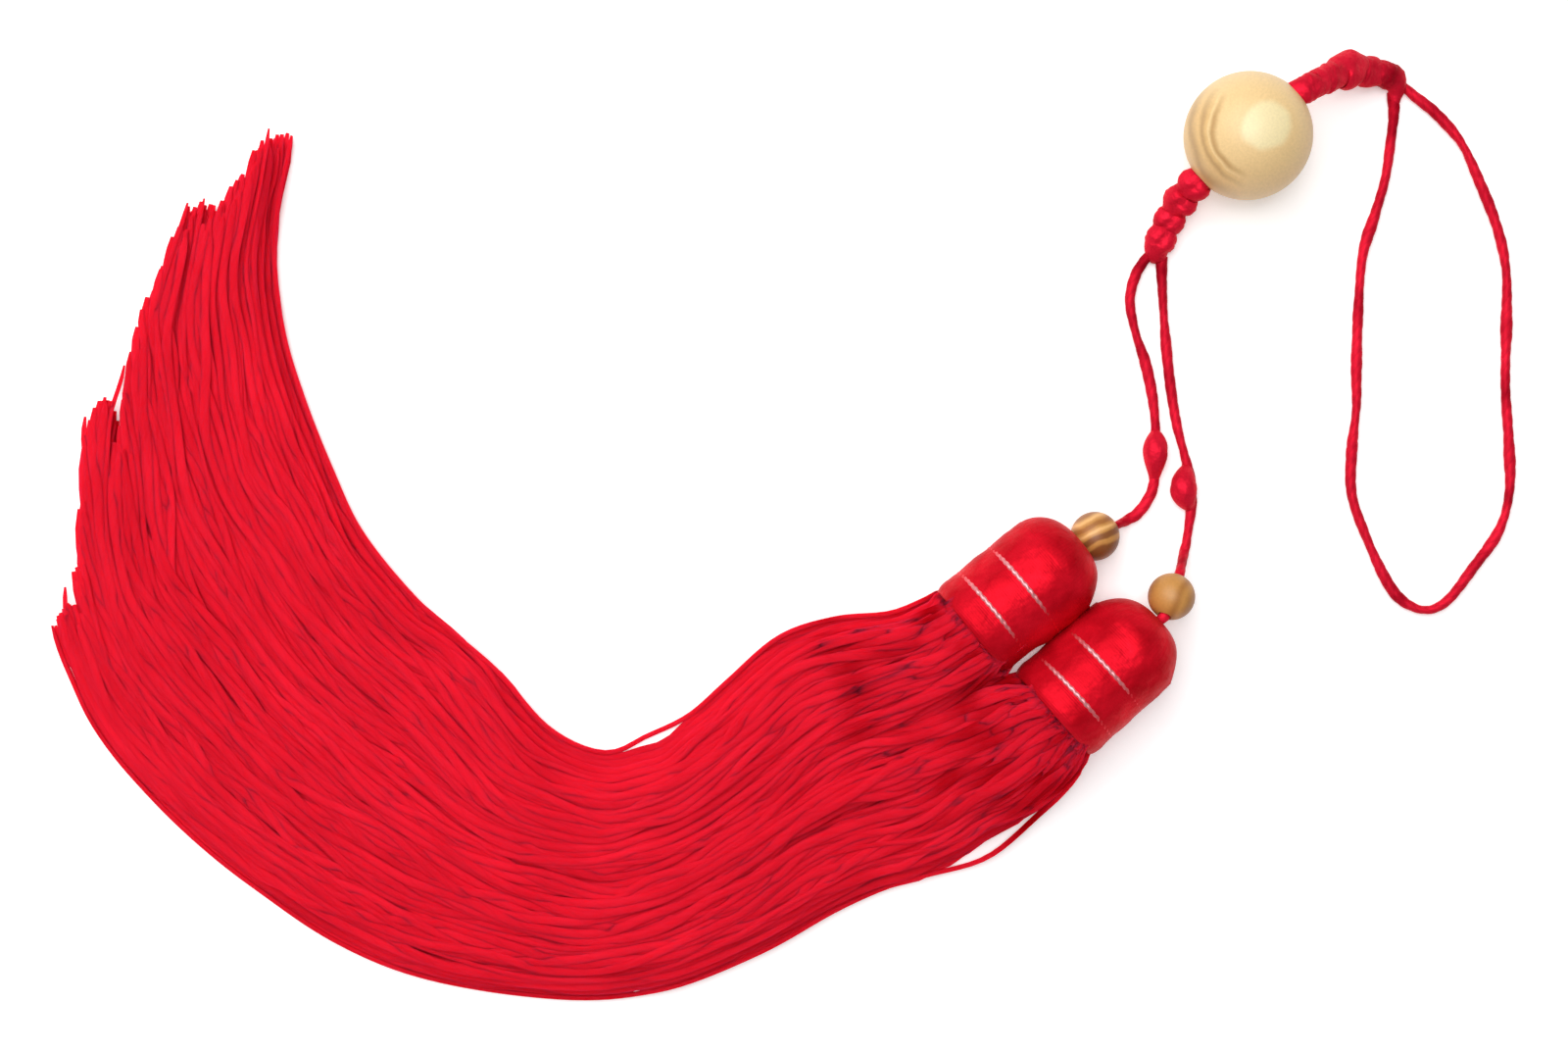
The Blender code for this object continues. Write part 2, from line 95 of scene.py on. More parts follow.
def ramp(places, start, length):
    """A straight rise from 0 to 1 that starts at a place and takes a length."""
    return np.clip((places - start) / length, 0, 1)


# %% Lines, humps and directions
def run_along(points):
    """How far along its line each point lies. The points are counted by the last axis but one."""
    steps = np.linalg.norm(np.diff(points, axis=-2), axis=-1)
    return np.concatenate([np.zeros((*steps.shape[:-1], 1)), np.cumsum(steps, axis=-1)], axis=-1)


def points_at(places, run, points):
    """Points of a line at other places along it, where its own points lie at run."""
    return np.stack([np.interp(places, run, column) for column in points.T], axis=1)


def evenly(points, step):
    """The same route with its points a step apart (mm), and how far along each lies."""
    fine = along(points, np.linspace(0, len(points) - 1, 30 * len(points)))
    run = run_along(fine)
    places = np.linspace(0, run[-1], max(2, round(run[-1] / step) + 1))
    return points_at(places, run, fine), places


def bump(places, centre, reach):
    """A smooth hump of height 1 about a centre."""
    return np.exp(-(((places - centre) / reach) ** 2))


def heading(degrees, rise=0.0):
    """Unit vector of a heading from +X, which rises by so many degrees."""
    turn, climb = math.radians(degrees), math.radians(rise)
    level = math.cos(climb)
    return np.array((level * math.cos(turn), level * math.sin(turn), math.sin(climb)))


def unit(vectors):
    """The same directions with length 1."""
    return vectors / np.linalg.norm(vectors, axis=-1, keepdims=True)


def round_turn(steps):
    """The angles of so many even steps round a circle."""
    return 2 * math.pi * np.arange(steps) / steps


def spokes(angle, right, up):
    """Directions outwards at angles that turn from the right towards up."""
    return np.cos(angle)[:, None] * right + np.sin(angle)[:, None] * up


print("a heading of 90 degrees is", heading(90.0).round(3).tolist())

# %% [markdown]
# ## Camera
#
# The tassel is seen from straight above, as on a catalogue page. A long lens
# from 42 cm keeps the ball and the heads round, without wide-angle bulging.
# With Blender's 36 mm sensor, the lens that shows 272 mm of table from there is
# 36 x 420 / 272 mm.

# %% Camera
CAMERA_PLACE = (9.822, -0.068, 420.0)
VIEW_WIDTH = 272.0
SENSOR = 36.0

camera_data = bpy.data.cameras.new("camera")
camera_data.sensor_width = SENSOR
camera_data.lens = SENSOR * CAMERA_PLACE[2] / VIEW_WIDTH
camera_data.clip_start = 0.01
camera_data.clip_end = 10
camera = bpy.data.objects.new("camera", camera_data)
camera.location = [value * MM for value in CAMERA_PLACE]
bpy.context.scene.collection.objects.link(camera)
bpy.context.scene.camera = camera
print(f"camera with a {camera_data.lens:.1f} mm lens")

# %% [markdown]
# ## Colour effects that several finishes share
#
# Silk, satin and cord are all fibres laid side by side. A shader node group
# holds that effect once: fine lines that run round the thread at a slant, made
# from the UV map, where U goes once round and V is the length in millimetres.
# The group puts out a height for a bump and a mask of its grooves, where the finishes paint shade.
# A second group gives soft clouds, which make a dyed surface uneven.

# %% Node helpers
def new_group(name, inputs, outputs):
    """A node group with named sockets, as (kind, name, default) rows."""
    group = bpy.data.node_groups.new(name, "ShaderNodeTree")
    for kind, label, default in inputs:
        socket = group.interface.new_socket(label, in_out="INPUT", socket_type=kind)
        socket.default_value = default
    for kind, label in outputs:
        group.interface.new_socket(label, in_out="OUTPUT", socket_type=kind)
    return group, group.nodes.new("NodeGroupInput"), group.nodes.new("NodeGroupOutput")


def node(tree, kind, values=None, **settings):
    """A node with its settings, and values or links for its inputs by name or number."""
    made = tree.nodes.new(kind)
    for key, value in settings.items():
        setattr(made, key, value)
    for key, value in (values or {}).items():
        if isinstance(value, bpy.types.NodeSocket):
            tree.links.new(value, made.inputs[key])
        else:
            made.inputs[key].default_value = value
    return made


def maths(tree, operation, *values):
    """The result of a Math node."""
    return node(tree, "ShaderNodeMath", dict(enumerate(values)), operation=operation).outputs[0]


def set_inputs(made, values):
    """Plain values for a node's inputs, by their names."""
    for label, value in values.items():
        made.inputs[label].default_value = value


def new_paint(name):
    """A new material, its node tree and its shader."""
    paint = bpy.data.materials.new(name)
    paint.use_nodes = True
    return paint, paint.node_tree, paint.node_tree.nodes["Principled BSDF"]


print("node helpers ready")

# %% Fibre and cloud groups
HAIR_HEIGHT = 0.12
HAIR_JITTER = 6.0
VALLEY_WIDTH = 0.45


def fibre_group():
    """Plies that wind round a thread, with finer hairs on them."""
    group, given, result = new_group(
        "fibres",
        [
            ("NodeSocketFloat", "Plies", 2.0),
            ("NodeSocketFloat", "Turns per mm", 0.2),
            ("NodeSocketFloat", "Ply depth", 1.0),
            ("NodeSocketFloat", "Hairs", 14.0),
        ],
        [("NodeSocketFloat", "Height"), ("NodeSocketFloat", "Groove")],
    )
    place = node(group, "ShaderNodeSeparateXYZ", {0: node(group, "ShaderNodeUVMap").outputs[0]})
    wound = maths(
        group, "MULTIPLY_ADD", place.outputs["Y"], given.outputs["Turns per mm"], place.outputs["X"],
    )
    turns = maths(group, "MULTIPLY", wound, given.outputs["Plies"])
    ply = maths(group, "ABSOLUTE", maths(group, "SINE", maths(group, "MULTIPLY", turns, math.pi)))
    hair_turns = maths(group, "MULTIPLY", turns, given.outputs["Hairs"])
    jitter = node(group, "ShaderNodeTexNoise", {"Scale": 900.0, "Detail": 2.0})
    hair = maths(group, "SINE", maths(group, "MULTIPLY_ADD", jitter.outputs[0], HAIR_JITTER, hair_turns))
    ply_height = maths(group, "MULTIPLY", ply, given.outputs["Ply depth"])
    height = maths(group, "MULTIPLY_ADD", hair, HAIR_HEIGHT, ply_height)
    group.links.new(height, result.inputs["Height"])
    valley = node(group, "ShaderNodeMapRange", {0: ply, 1: 0.0, 2: VALLEY_WIDTH, 3: 1.0, 4: 0.0})
    groove = maths(group, "MULTIPLY", valley.outputs[0], given.outputs["Ply depth"])
    group.links.new(groove, result.inputs["Groove"])
    return group


def cloud_group():
    """Soft uneven patches, of a size given in millimetres."""
    group, given, result = new_group(
        "clouds",
        [("NodeSocketFloat", "Size in mm", 8.0), ("NodeSocketFloat", "Contrast", 1.6)],
        [("NodeSocketFloat", "Mask")],
    )
    place = node(group, "ShaderNodeTexCoord").outputs["Object"]
    scale = maths(group, "DIVIDE", 1 / MM, given.outputs["Size in mm"])
    noise = node(group, "ShaderNodeTexNoise", {"Vector": place, "Scale": scale, "Detail": 3.0})
    about_zero = maths(group, "SUBTRACT", noise.outputs[0], 0.5)
    spread = maths(group, "MULTIPLY", about_zero, given.outputs["Contrast"])
    mask = node(group, "ShaderNodeClamp", {0: maths(group, "ADD", spread, 0.5)})
    group.links.new(mask.outputs[0], result.inputs["Mask"])
    return group


FIBRES = fibre_group()
CLOUDS = cloud_group()
print("groups:", FIBRES.name, CLOUDS.name)

# %% [markdown]
# ## Silk finishes
#
# Yarn, satin winding and cord are one dyed silk, spun in three ways. Each gets
# its own material: the same clouds and fibres with other values, then its own
# shader. Dyed silk shines in its own colour, so the specular tint is red too,
# and a little light passes into the thread, which keeps the gaps deep red.

# %% Silk finish
# How much a strand's own tone counts, how dark the painted shade in its grooves gets, and how uneven its
# sheen is
OWN_TONE = 0.5
DEEPEST = 0.45
ROUGH_SPREAD = 0.12
SILK_TINT = (1.0, 0.2, 0.24, 1)
# How deep light passes into the thread (mm), and the shares of red, green and blue in it
GLOW_DEPTH = 0.8
GLOW_REACH = (0.6, 0.06, 0.08)


def place_group(tree, group, **values):
    """A group placed in a material, with values by its inputs' names."""
    made = node(tree, "ShaderNodeGroup", node_tree=group)
    set_inputs(made, {label.replace("_", " "): value for label, value in values.items()})
    return made


def mixed(tree, factor, first, second):
    """A colour between two, by a factor."""
    made = node(tree, "ShaderNodeMix", {0: factor, 6: first, 7: second}, data_type="RGBA")
    return made.outputs[2]


def silk(
    name, light, dark, rough, plies=1, turns=0.0, ply_depth=0.0, hairs=2, groove=0.45,
    cloud=8.0, depth=0.03, lumps=0.0, patches=0.5, gleam=0.2, gloss=0.1, glow=0.0,
):
    """A silk finish. Colours are linear; cloud size and the depths of both bumps are in mm."""
    paint, tree, shader = new_paint(name)
    fibre = place_group(tree, FIBRES, Plies=plies, Turns_per_mm=turns, Ply_depth=ply_depth, Hairs=hairs)
    clouds = place_group(tree, CLOUDS, Size_in_mm=cloud)
    strand = node(tree, "ShaderNodeAttribute", attribute_name="tone")
    own = maths(tree, "MULTIPLY", strand.outputs["Fac"], OWN_TONE)
    shade = maths(tree, "MULTIPLY_ADD", clouds.outputs[0], patches, own)
    colour = mixed(tree, shade, (*light, 1), (*dark, 1))
    # Painted shade: the grooves between the plies are darkened towards a deeper red
    deep = [DEEPEST * value for value in dark]
    groove_shaded = mixed(tree, maths(tree, "MULTIPLY", fibre.outputs["Groove"], groove), colour, (*deep, 1))
    tree.links.new(groove_shaded, shader.inputs["Base Color"])
    smoothest = rough - ROUGH_SPREAD / 2
    rough_places = maths(tree, "MULTIPLY_ADD", clouds.outputs[0], ROUGH_SPREAD, smoothest)
    tree.links.new(rough_places, shader.inputs["Roughness"])
    fine = node(tree, "ShaderNodeBump", {"Height": fibre.outputs["Height"], "Distance": depth * MM})
    uneven = node(
        tree, "ShaderNodeBump",
        {"Height": clouds.outputs[0], "Distance": lumps * MM, "Normal": fine.outputs[0]},
    )
    tree.links.new(uneven.outputs[0], shader.inputs["Normal"])
    set_inputs(shader, {
        "Metallic": gleam, "Specular IOR Level": gloss, "Specular Tint": SILK_TINT,
        "Subsurface Weight": glow, "Subsurface Radius": GLOW_REACH, "Subsurface Scale": GLOW_DEPTH * MM,
    })
    return paint


print("silk glows", GLOW_DEPTH, "mm deep")

# %% Five silks
RED = (0.82, 0.013, 0.036)
DEEP_RED = (0.34, 0.0002, 0.002)
SATIN_RED = (0.80, 0.008, 0.024)
SATIN_DARK = (0.36, 0.001, 0.005)
CORD_RED = (0.82, 0.014, 0.042)
CORD_DARK = (0.34, 0.002, 0.012)
yarn_silk = silk(
    "silk_yarn", RED, DEEP_RED, 0.7, plies=2, turns=0.1, ply_depth=0.4, hairs=4,
    groove=0.15, cloud=14.0, patches=0.18, gleam=0.1, gloss=0.0, glow=1.0,
)
SATIN_LOOK = {"cloud": 5.0, "lumps": 0.45, "patches": 0.9, "gleam": 0.3}
satin = silk("satin_winding", SATIN_RED, SATIN_DARK, 0.42, depth=0.012, **SATIN_LOOK)
satin_dome = silk(
    "satin_dome", SATIN_RED, SATIN_DARK, 0.44, plies=90, ply_depth=0.5, groove=0.3, depth=0.02,
    **SATIN_LOOK,
)
cord_silk = silk(
    "cord_silk", CORD_RED, CORD_DARK, 0.45, plies=3, turns=0.14, ply_depth=0.5, hairs=4,
    groove=0.4, cloud=3.0, patches=0.6, glow=0.3,
)
knot_silk = silk(
    "knot_silk", CORD_RED, CORD_DARK, 0.42, hairs=30, cloud=2.6, lumps=0.4, patches=0.5, gleam=0.3,
)
SILKS = (yarn_silk, satin, satin_dome, cord_silk, knot_silk)
print("silk finishes:", ", ".join(paint.name for paint in SILKS))

# %% [markdown]
# ## Meshes from rings
#
# A strand, a cord, a wound head and a knot are all rings of points, one after
# the other, with quads between them. One function joins any number of such
# tubes into a single mesh, closes their ends and writes the UV map. It is much
# faster than one object a strand, and a thousand objects would be slow to edit.

# %% From rings to a mesh
def ringed(name, rings, paint, replaced=None, tone=None, closed=False, sharp=60):
    """One piece of tubes, kept above the table. rings is (tubes, rings, sides, 3) in millimetres."""
    tubes, count, sides, _ = rings.shape
    rings[..., 2] = np.maximum(rings[..., 2], 0.0)
    index = np.arange(tubes * count * sides).reshape(tubes, count, sides)
    if closed:
        index = np.concatenate([index, index[:, :1]], axis=1)
    near, far = index[:, :-1], index[:, 1:]
    quads = np.stack([near, far, np.roll(far, -1, axis=2), np.roll(near, -1, axis=2)], axis=-1)
    run = run_along(rings.mean(axis=2))
    if closed:
        run = np.concatenate([run, run[:, -1:] * count / (count - 1)], axis=1)
    u = np.arange(sides + 1) / sides
    corners = np.empty((*quads.shape, 2))
    corners[..., 0, 0] = corners[..., 1, 0] = u[:-1]
    corners[..., 2, 0] = corners[..., 3, 0] = u[1:]
    corners[..., 0, 1] = corners[..., 3, 1] = run[:, :-1, None]
    corners[..., 1, 1] = corners[..., 2, 1] = run[:, 1:, None]
    faces, uvs = quads.reshape(-1, 4).tolist(), [corners.reshape(-1, 2)]
    if not closed:
        faces += index[:, 0].tolist() + index[:, -1, ::-1].tolist()
        uvs.append(np.zeros((2 * tubes * sides, 2)))
    mesh = bpy.data.meshes.new(name)
    mesh.from_pydata(in_scene(rings.reshape(-1, 3)).tolist(), [], faces)
    layer = mesh.uv_layers.new(name="UVMap")
    layer.data.foreach_set("uv", np.concatenate(uvs).ravel())
    if tone is not None:
        values = mesh.attributes.new("tone", "FLOAT", "POINT")
        each_ring = np.broadcast_to(np.reshape(tone, (tubes, -1)), (tubes, count))
        values.data.foreach_set("value", np.repeat(each_ring, sides))
    mesh.shade_smooth()
    mesh.set_sharp_from_angle(angle=math.radians(sharp))
    mesh.materials.append(paint)
    piece = bpy.data.objects.new(name, mesh)
    bpy.context.scene.collection.objects.link(piece)
    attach(piece, BODY)
    if replaced:
        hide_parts(replaced)
    return piece


print("pieces ride on", BODY)

# %% Rings round a line
def axes_along(centres):
    """Directions ahead, to the right and up along lines that never stand upright."""
    ahead = unit(np.gradient(centres, axis=-2))
    right = unit(np.cross(ahead, (0, 0, 1)))
    return ahead, right, np.cross(right, ahead)


def rings_about(centres, radii, sides, wide=1.0, tall=1.0):
    """Rings round lines of centres, (..., rings, 3). A ring can be wider or flatter than round.

    radii is one for all, one a ring, or (rings, sides).
    """
    _, right, up = axes_along(centres)
    angle = round_turn(sides)
    radii = np.asarray(radii, float)
    if radii.ndim < 2 or radii.shape[-1] != sides:
        radii = radii[..., None]
    out = (radii * wide * np.cos(angle))[..., None], (radii * tall * np.sin(angle))[..., None]
    return centres[..., None, :] + out[0] * right[..., None, :] + out[1] * up[..., None, :]


straight = np.linspace((0.0, 0.0, 0.0), (9.0, 0.0, 0.0), 4)
print("rings round a straight line:", rings_about(straight, 1.0, 6).shape)

# %% [markdown]
# ## Cords
#
# The cord is three plies of satin silk, 1.8 mm thick, twisted a turn in 7 mm.
# A bevelled curve would be round and even, so each cord is a tube whose rings
# have three shallow valleys that turn as they go. It is a little flat, and wider
# in some places than in others, as soft cord is. The routes are those of the
# part's solids: the hanging loop lies on the table, and each drop cord runs from
# the lower knots through its stopper knot and its bead into the dome of a head.

# %% Cord, heads and beads
CORD_RADIUS = 0.9
CORD_REST = 0.92
# Where a drop cord leaves its bead on both sides, and how deep it enters the dome (mm)
BEAD_EXITS = (4.4, 4.1)
DOME_DEPTHS = (1.4, 3.4)
# The part's heads have 24 flats, and rest on one of them
HEAD_RADIUS = 9.3
HEAD_STEPS = 24
HEAD_HEIGHT = HEAD_RADIUS * math.cos(math.pi / HEAD_STEPS)
HEAD_BARREL = 18.1
HEAD_DOME = 6.1
BEAD_RADIUS = 4.0
BEAD_SIZE = {"left": 1.05, "right": 1.0}

# Each head: rim centre x and y, and the heading of its dome
HEADS = {"left": (41.7, -18.3, 39.0), "right": (55.7, -32.4, 42.0)}
# Each bead, from its dome's apex: ahead, to the right, height, bore heading and fall
BEADS = {"left": (2.85, 0.93, 5.2, 25.0, 24.0), "right": (4.3, -1.45, 8.3, 66.0, 22.0)}
print(f"a head is {HEAD_BARREL + HEAD_DOME:.1f} mm high")

# %% Routes on the table
LOOP_ROUTE = (
    (115.3, 74.8), (115.6, 71.5), (115.1, 66.8), (114.1, 59.9), (112.3, 53.6),
    (110.2, 46.6), (109.4, 36.6), (109.1, 26.6), (109.1, 20.4), (108.3, 12.7),
    (108.3, 5.3), (110.7, -1.9), (114.2, -9.5), (117.1, -13.2), (121.1, -14.8),
    (124.9, -13.1), (129.3, -7.5), (133.8, -1.0), (135.6, 5.9), (135.5, 14.1),
    (134.9, 24.1), (135.1, 35.5), (135.0, 44.1), (133.4, 51.6), (130.2, 59.8),
    (127.2, 66.1), (123.0, 71.0), (119.2, 74.1), (117.0, 76.0),
)
DROP_ROUTES = {
    "left": (
        (73.35, 46.7), (71.9, 45.0), (70.6, 42.4), (69.9, 38.5), (70.9, 33.1),
        (72.5, 28.2), (73.7, 22.7), (74.3, 17.3), (74.3, 12.0), (74.0, 7.0),
        (73.1, 4.5), (71.4, 2.1), (69.5, 0.8),
    ),
    "right": (
        (75.4, 46.3), (75.4, 43.6), (75.5, 40.9), (75.8, 35.5), (76.3, 29.5),
        (77.0, 23.4), (78.0, 17.3), (79.2, 12.6), (79.8, 10.2), (80.4, 7.0),
        (80.5, 3.2), (80.0, -0.9), (79.3, -4.6),
    ),
}


def bead_place(side):
    """Centre of a bead and the direction of its bore, away from the head."""
    x, y, degrees = HEADS[side]
    ahead, right, height, bore_heading, fall = BEADS[side]
    apex = np.array((x, y, 0)) + heading(degrees) * (HEAD_BARREL + HEAD_DOME)
    centre = apex + heading(degrees) * ahead + heading(degrees - 90) * right
    centre[2] = height
    return centre, heading(bore_heading, -fall)


def drop_line(side, step):
    """Centre line of a drop cord: over the table, through the bead, into the dome."""
    x, y, degrees = HEADS[side]
    centre, bore = bead_place(side)
    axis = heading(degrees)
    apex = np.array((x, y, HEAD_HEIGHT)) + axis * (HEAD_BARREL + HEAD_DOME)
    ground = [(*spot, CORD_REST) for spot in DROP_ROUTES[side]]
    table, _ = evenly([*ground, centre + bore * BEAD_EXITS[0]], step)
    inside = [table[-1], centre, centre - bore * BEAD_EXITS[1]]
    inside += [apex - axis * depth for depth in DOME_DEPTHS]
    rest = [np.linspace(a, b, 6)[1:] for a, b in zip(inside, inside[1:])]
    line, run = evenly(np.vstack([table, *rest]), step)
    line[:, 2] = np.maximum(line[:, 2], CORD_REST)
    return line, run


print("beads at", [np.round(bead_place(side)[0], 1).tolist() for side in HEADS])

# %% Twisted tubes
CORD_PLIES = 3
CORD_TURNS = 0.14
CORD_SIDES = 18
CORD_STEP = 0.55
CORD_UNEVEN = 0.17
CORD_TALL = 0.9
CORD_VALLEY = 0.14


def waves(places, reach, seed):
    """A smooth uneven line, about -1 to 1, whose bumps are some reach apart."""
    rng = np.random.default_rng(seed)
    total = 0
    for share in (1.0, 0.6, 0.35):
        total = total + share * np.sin(2 * math.pi * places / (reach * share) + rng.uniform(0, 7))
    return total / 1.5


def twisted(centres, run, seed):
    """Rings of a soft twisted cord, with valleys between its plies, wider in some places."""
    u = np.arange(CORD_SIDES) / CORD_SIDES
    winding = np.abs(np.sin(math.pi * CORD_PLIES * (u + run[:, None] * CORD_TURNS)))
    wide = 1 + CORD_UNEVEN * waves(run, 21.0, seed)[:, None]
    radii = CORD_RADIUS * (1 - CORD_VALLEY * (1 - winding) ** 1.5)
    return rings_about(centres, radii, CORD_SIDES, wide, CORD_TALL)[None]


def free_cord(name, line, run, node_name, seed):
    """A cord along a line, darker in patches and towards its first end, by the knots."""
    tone = np.clip(0.15 + 0.6 * waves(run, 17.0, seed + 1) + np.exp(-run / 8.0), 0, 1.2)
    piece = ringed(name, twisted(line, run, seed), cord_silk, node_name, tone=tone)
    return piece, in_scene(line)


loop_line, loop_run = evenly([(*spot, CORD_REST) for spot in LOOP_ROUTE], CORD_STEP)
loop, loop_path = free_cord("loop_cord", loop_line, loop_run, "hanging_loop", seed=3)
print(f"hanging loop of {loop_run[-1]:.0f} mm")

# %% [markdown]
# ## Stopper knots and drop cords
#
# Half way down each drop cord sits a small tight knot. One is a smooth teardrop
# and the other bulges to one side, where the cord was pulled round. Each is a
# closed form along the cord, with a slanting crease where the turn ends.

# %% Stopper knots
KNOT_SIDES = 32
KNOT_TALL = 0.92
KNOT_SINK = 0.9
# A knot's crease: its depth as a share of the radius, its width and its slant in turns
KNOT_CREASE = (0.06, 0.09, 0.9)
# Each stopper: place along its cord, length, half width, fullest place as a share of
# the length, how it tapers after that, sideways shift, and where its crease starts as
# a share of a turn
STOPPERS = {
    "left": (36.5, 8.4, 2.2, 0.36, 1.5, 0.15, 0.15),
    "right": (40.3, 7.0, 2.35, 0.54, 0.8, 1.5, 0.60),
}


def stopper(side, line, run):
    """A knot over its cord: it swells from the cord's width to its fullest place and back."""
    place, length, half, fullest, taper, shift, crease = STOPPERS[side]
    share = np.linspace(0.0, 1.0, 34)
    bend = np.interp(share, (0.0, fullest, 1.0), (0.0, 0.5, 1.0))
    swell = np.sin(math.pi * bend) ** np.where(bend < 0.5, 0.8, taper)
    start = CORD_RADIUS * 0.93
    reach = start + (half - start) * swell
    centres = points_at(place + (share - 0.5) * length, run, line)
    centres += axes_along(centres)[1] * (shift * swell)[:, None]
    centres[:, 2] = reach * KNOT_SINK + 0.02
    depth, width, slant = KNOT_CREASE
    u = np.arange(KNOT_SIDES) / KNOT_SIDES
    fold = (u - crease - slant * share[:, None] + 0.5) % 1.0 - 0.5
    valley = 1 - depth * bump(fold, 0, width) * swell[:, None]
    rings = rings_about(centres, reach[:, None] * valley, KNOT_SIDES)
    rings[..., 2] = centres[:, 2:3] + (rings[..., 2] - centres[:, 2:3]) * KNOT_TALL
    return ringed(f"stopper_knot_{side}", rings[None], knot_silk)


for seed, side in enumerate(HEADS):
    line, run = drop_line(side, CORD_STEP)
    cord_piece, path = free_cord(f"drop_{side}", line, run, f"drop_cord_{side}", 11 + seed)
    knot = stopper(side, line, run)
    print(f"{cord_piece.name} of {run[-1]:.1f} mm with its knot")

# %% [markdown]
# ## Knot chains
#
# On both sides of the ball the doubled cord is tied in a row of flat knots, each
# with a left and a right lobe. Real knots would be a tangle of crossing tubes,
# most of it hidden, so each chain is one skin over its lobes: rings that swell at
# every knot, pinch between knots, and have a crease down the middle. At its far
# end each chain thins out into two cords. The upper one is dark there, where its
# silk was sealed with heat.

# %% Places of the knots
BALL_RADIUS = 10.8
BALL_CENTRE = np.array((88.5, 65.7, 10.6))
BALL_AXIS = heading(43.0, 12.0)
# Knots from the ball outwards: x, y, z, width, length
LOWER_KNOTS = (
    (79.9, 57.8, 7.3, 6.0, 3.6),
    (78.0, 55.5, 5.2, 6.1, 3.6),
    (76.4, 52.4, 3.2, 5.5, 3.6),
    (75.0, 49.1, 2.3, 5.4, 3.6),
)
LOWER_WAIST = (1.9, 1.4)
UPPER_KNOTS = (
    (98.0, 73.3, 12.9, 4.8, 2.6),
    (100.1, 74.5, 11.7, 4.9, 2.6),
    (102.3, 75.6, 10.2, 5.2, 2.8),
    (106.2, 77.5, 7.1, 6.7, 5.2),
    (110.2, 77.7, 4.4, 5.4, 4.0),
    (113.5, 77.5, 2.9, 4.8, 3.8),
)
UPPER_WAIST = (2.2, 1.8)
# Where a chain thins out into its two cords: x, y, z, width
LOWER_TAIL = ((74.4, 47.0, 1.5, 3.9), (74.4, 46.0, 1.1, 3.2), (74.4, 45.3, 0.8, 1.8))
UPPER_TAIL = (
    (115.6, 76.1, 1.7, 4.0), (116.0, 75.0, 1.3, 3.0), (115.7, 73.8, 1.0, 2.2), (115.6, 72.4, 0.9, 1.6),
)
print(len(LOWER_KNOTS), "knots below the ball and", len(UPPER_KNOTS), "above it")

# %% Knot chains
CHAIN_SIDES = 44
KNOT_FLATTEN = 0.8


def chain_stations(bore, knots, tail, waist):
    """Rings of a chain: x, y, z, how far its knot has swollen, its width, its place in the knot."""
    rows = [(*spot, 0.0, 2 * waist[0], 0.0) for spot in bore]
    for i, (*centre, width, length) in enumerate(knots):
        after = knots[i + 1][:3] if i + 1 < len(knots) else tail[0][:3]
        before = knots[i - 1][:3] if i else bore[-1]
        step = np.subtract(after, before)
        step *= length / np.linalg.norm(step)
        for share in np.linspace(-0.47, 0.47, 13):
            swell = math.sqrt(1 - (share / 0.5) ** 2)
            rows.append((*(np.array(centre) + step * share), swell, width, share))
    rows += [(*spot, 0.0, width, 0.0) for *spot, width in tail]
    return np.array(rows)


def chain(name, bore, knots, tail, waist, depth, slant, seed, burnt):
    """A row of knots. slant leans the two lobes of each knot, and burnt darkens the far end."""
    rows = chain_stations(bore, knots, tail, waist)
    centres, (swell, width, share) = rows[:, :3], rows[:, 3:].T[..., None]
    angle = round_turn(CHAIN_SIDES)
    across, rise = np.cos(angle), np.sin(angle)
    thin = np.ones(len(rows))[:, None]
    thin[-len(tail):, 0] = rows[-len(tail):, 4] / (2 * waist[0])
    half_width = (waist[0] + (width / 2 - waist[0]) * swell) * np.where(swell > 0, 1, thin)
    half_height = waist[1] + (width / 2 * KNOT_FLATTEN - waist[1]) * swell
    half_height = half_height * np.where(swell > 0, 1, np.minimum(thin, 1))
    valley = 1 - depth * swell * bump(across, 0.45 * share, 0.25)
    count = np.arange(len(rows))
    uneven = 1 + 0.03 * np.sin(2 * angle + waves(count, 17.0, seed)[:, None] * 3)
    ahead, right, up = axes_along(centres)
    rings = centres[:, None] + right[:, None] * (across * half_width * uneven)[..., None]
    rings += up[:, None] * (rise * half_height * valley * uneven)[..., None]
    rings -= ahead[:, None] * (slant * across * half_width * swell)[..., None]
    tone = 0.1 + 0.2 * waves(count, 23.0, seed + 1) + burnt * bump(count[::-1], 9, 6.0)
    return ringed(f"{name}_chain", rings[None], knot_silk, name, tone=tone)


ball_exit = BALL_AXIS * (BALL_RADIUS - 1.0)
ball_meeting = BALL_CENTRE + BALL_AXIS * (BALL_RADIUS - 3.0)
lower_bore = (ball_meeting, BALL_CENTRE - ball_exit)
upper_bore = (ball_meeting + BALL_AXIS * 0.3, BALL_CENTRE + ball_exit)
chain(
    "knots_lower", lower_bore, LOWER_KNOTS, LOWER_TAIL, LOWER_WAIST, depth=0.2, slant=0.0, seed=5,
    burnt=0.0,
)
chain(
    "knots_upper", upper_bore, UPPER_KNOTS, UPPER_TAIL, UPPER_WAIST, depth=0.08, slant=0.3, seed=6,
    burnt=1.2,
)
print("two knot chains")

# %% [markdown]
# ## Wound heads
#
# Each head is a core of yarn, wound with fine satin thread and closed with a
# domed top of threads that run to the cord's hole. The winding is modelled as
# one helical ridge, 0.4 mm from turn to turn, on a barrel that swells a little
# between the metal threads and is drawn in at its rim. The dome has shallow
# pleats that fade at its hole, and its sides give way a little.

# %% Forms round a head's axis
HEAD_SIDES = 96
HEAD_ANGLES = round_turn(HEAD_SIDES)
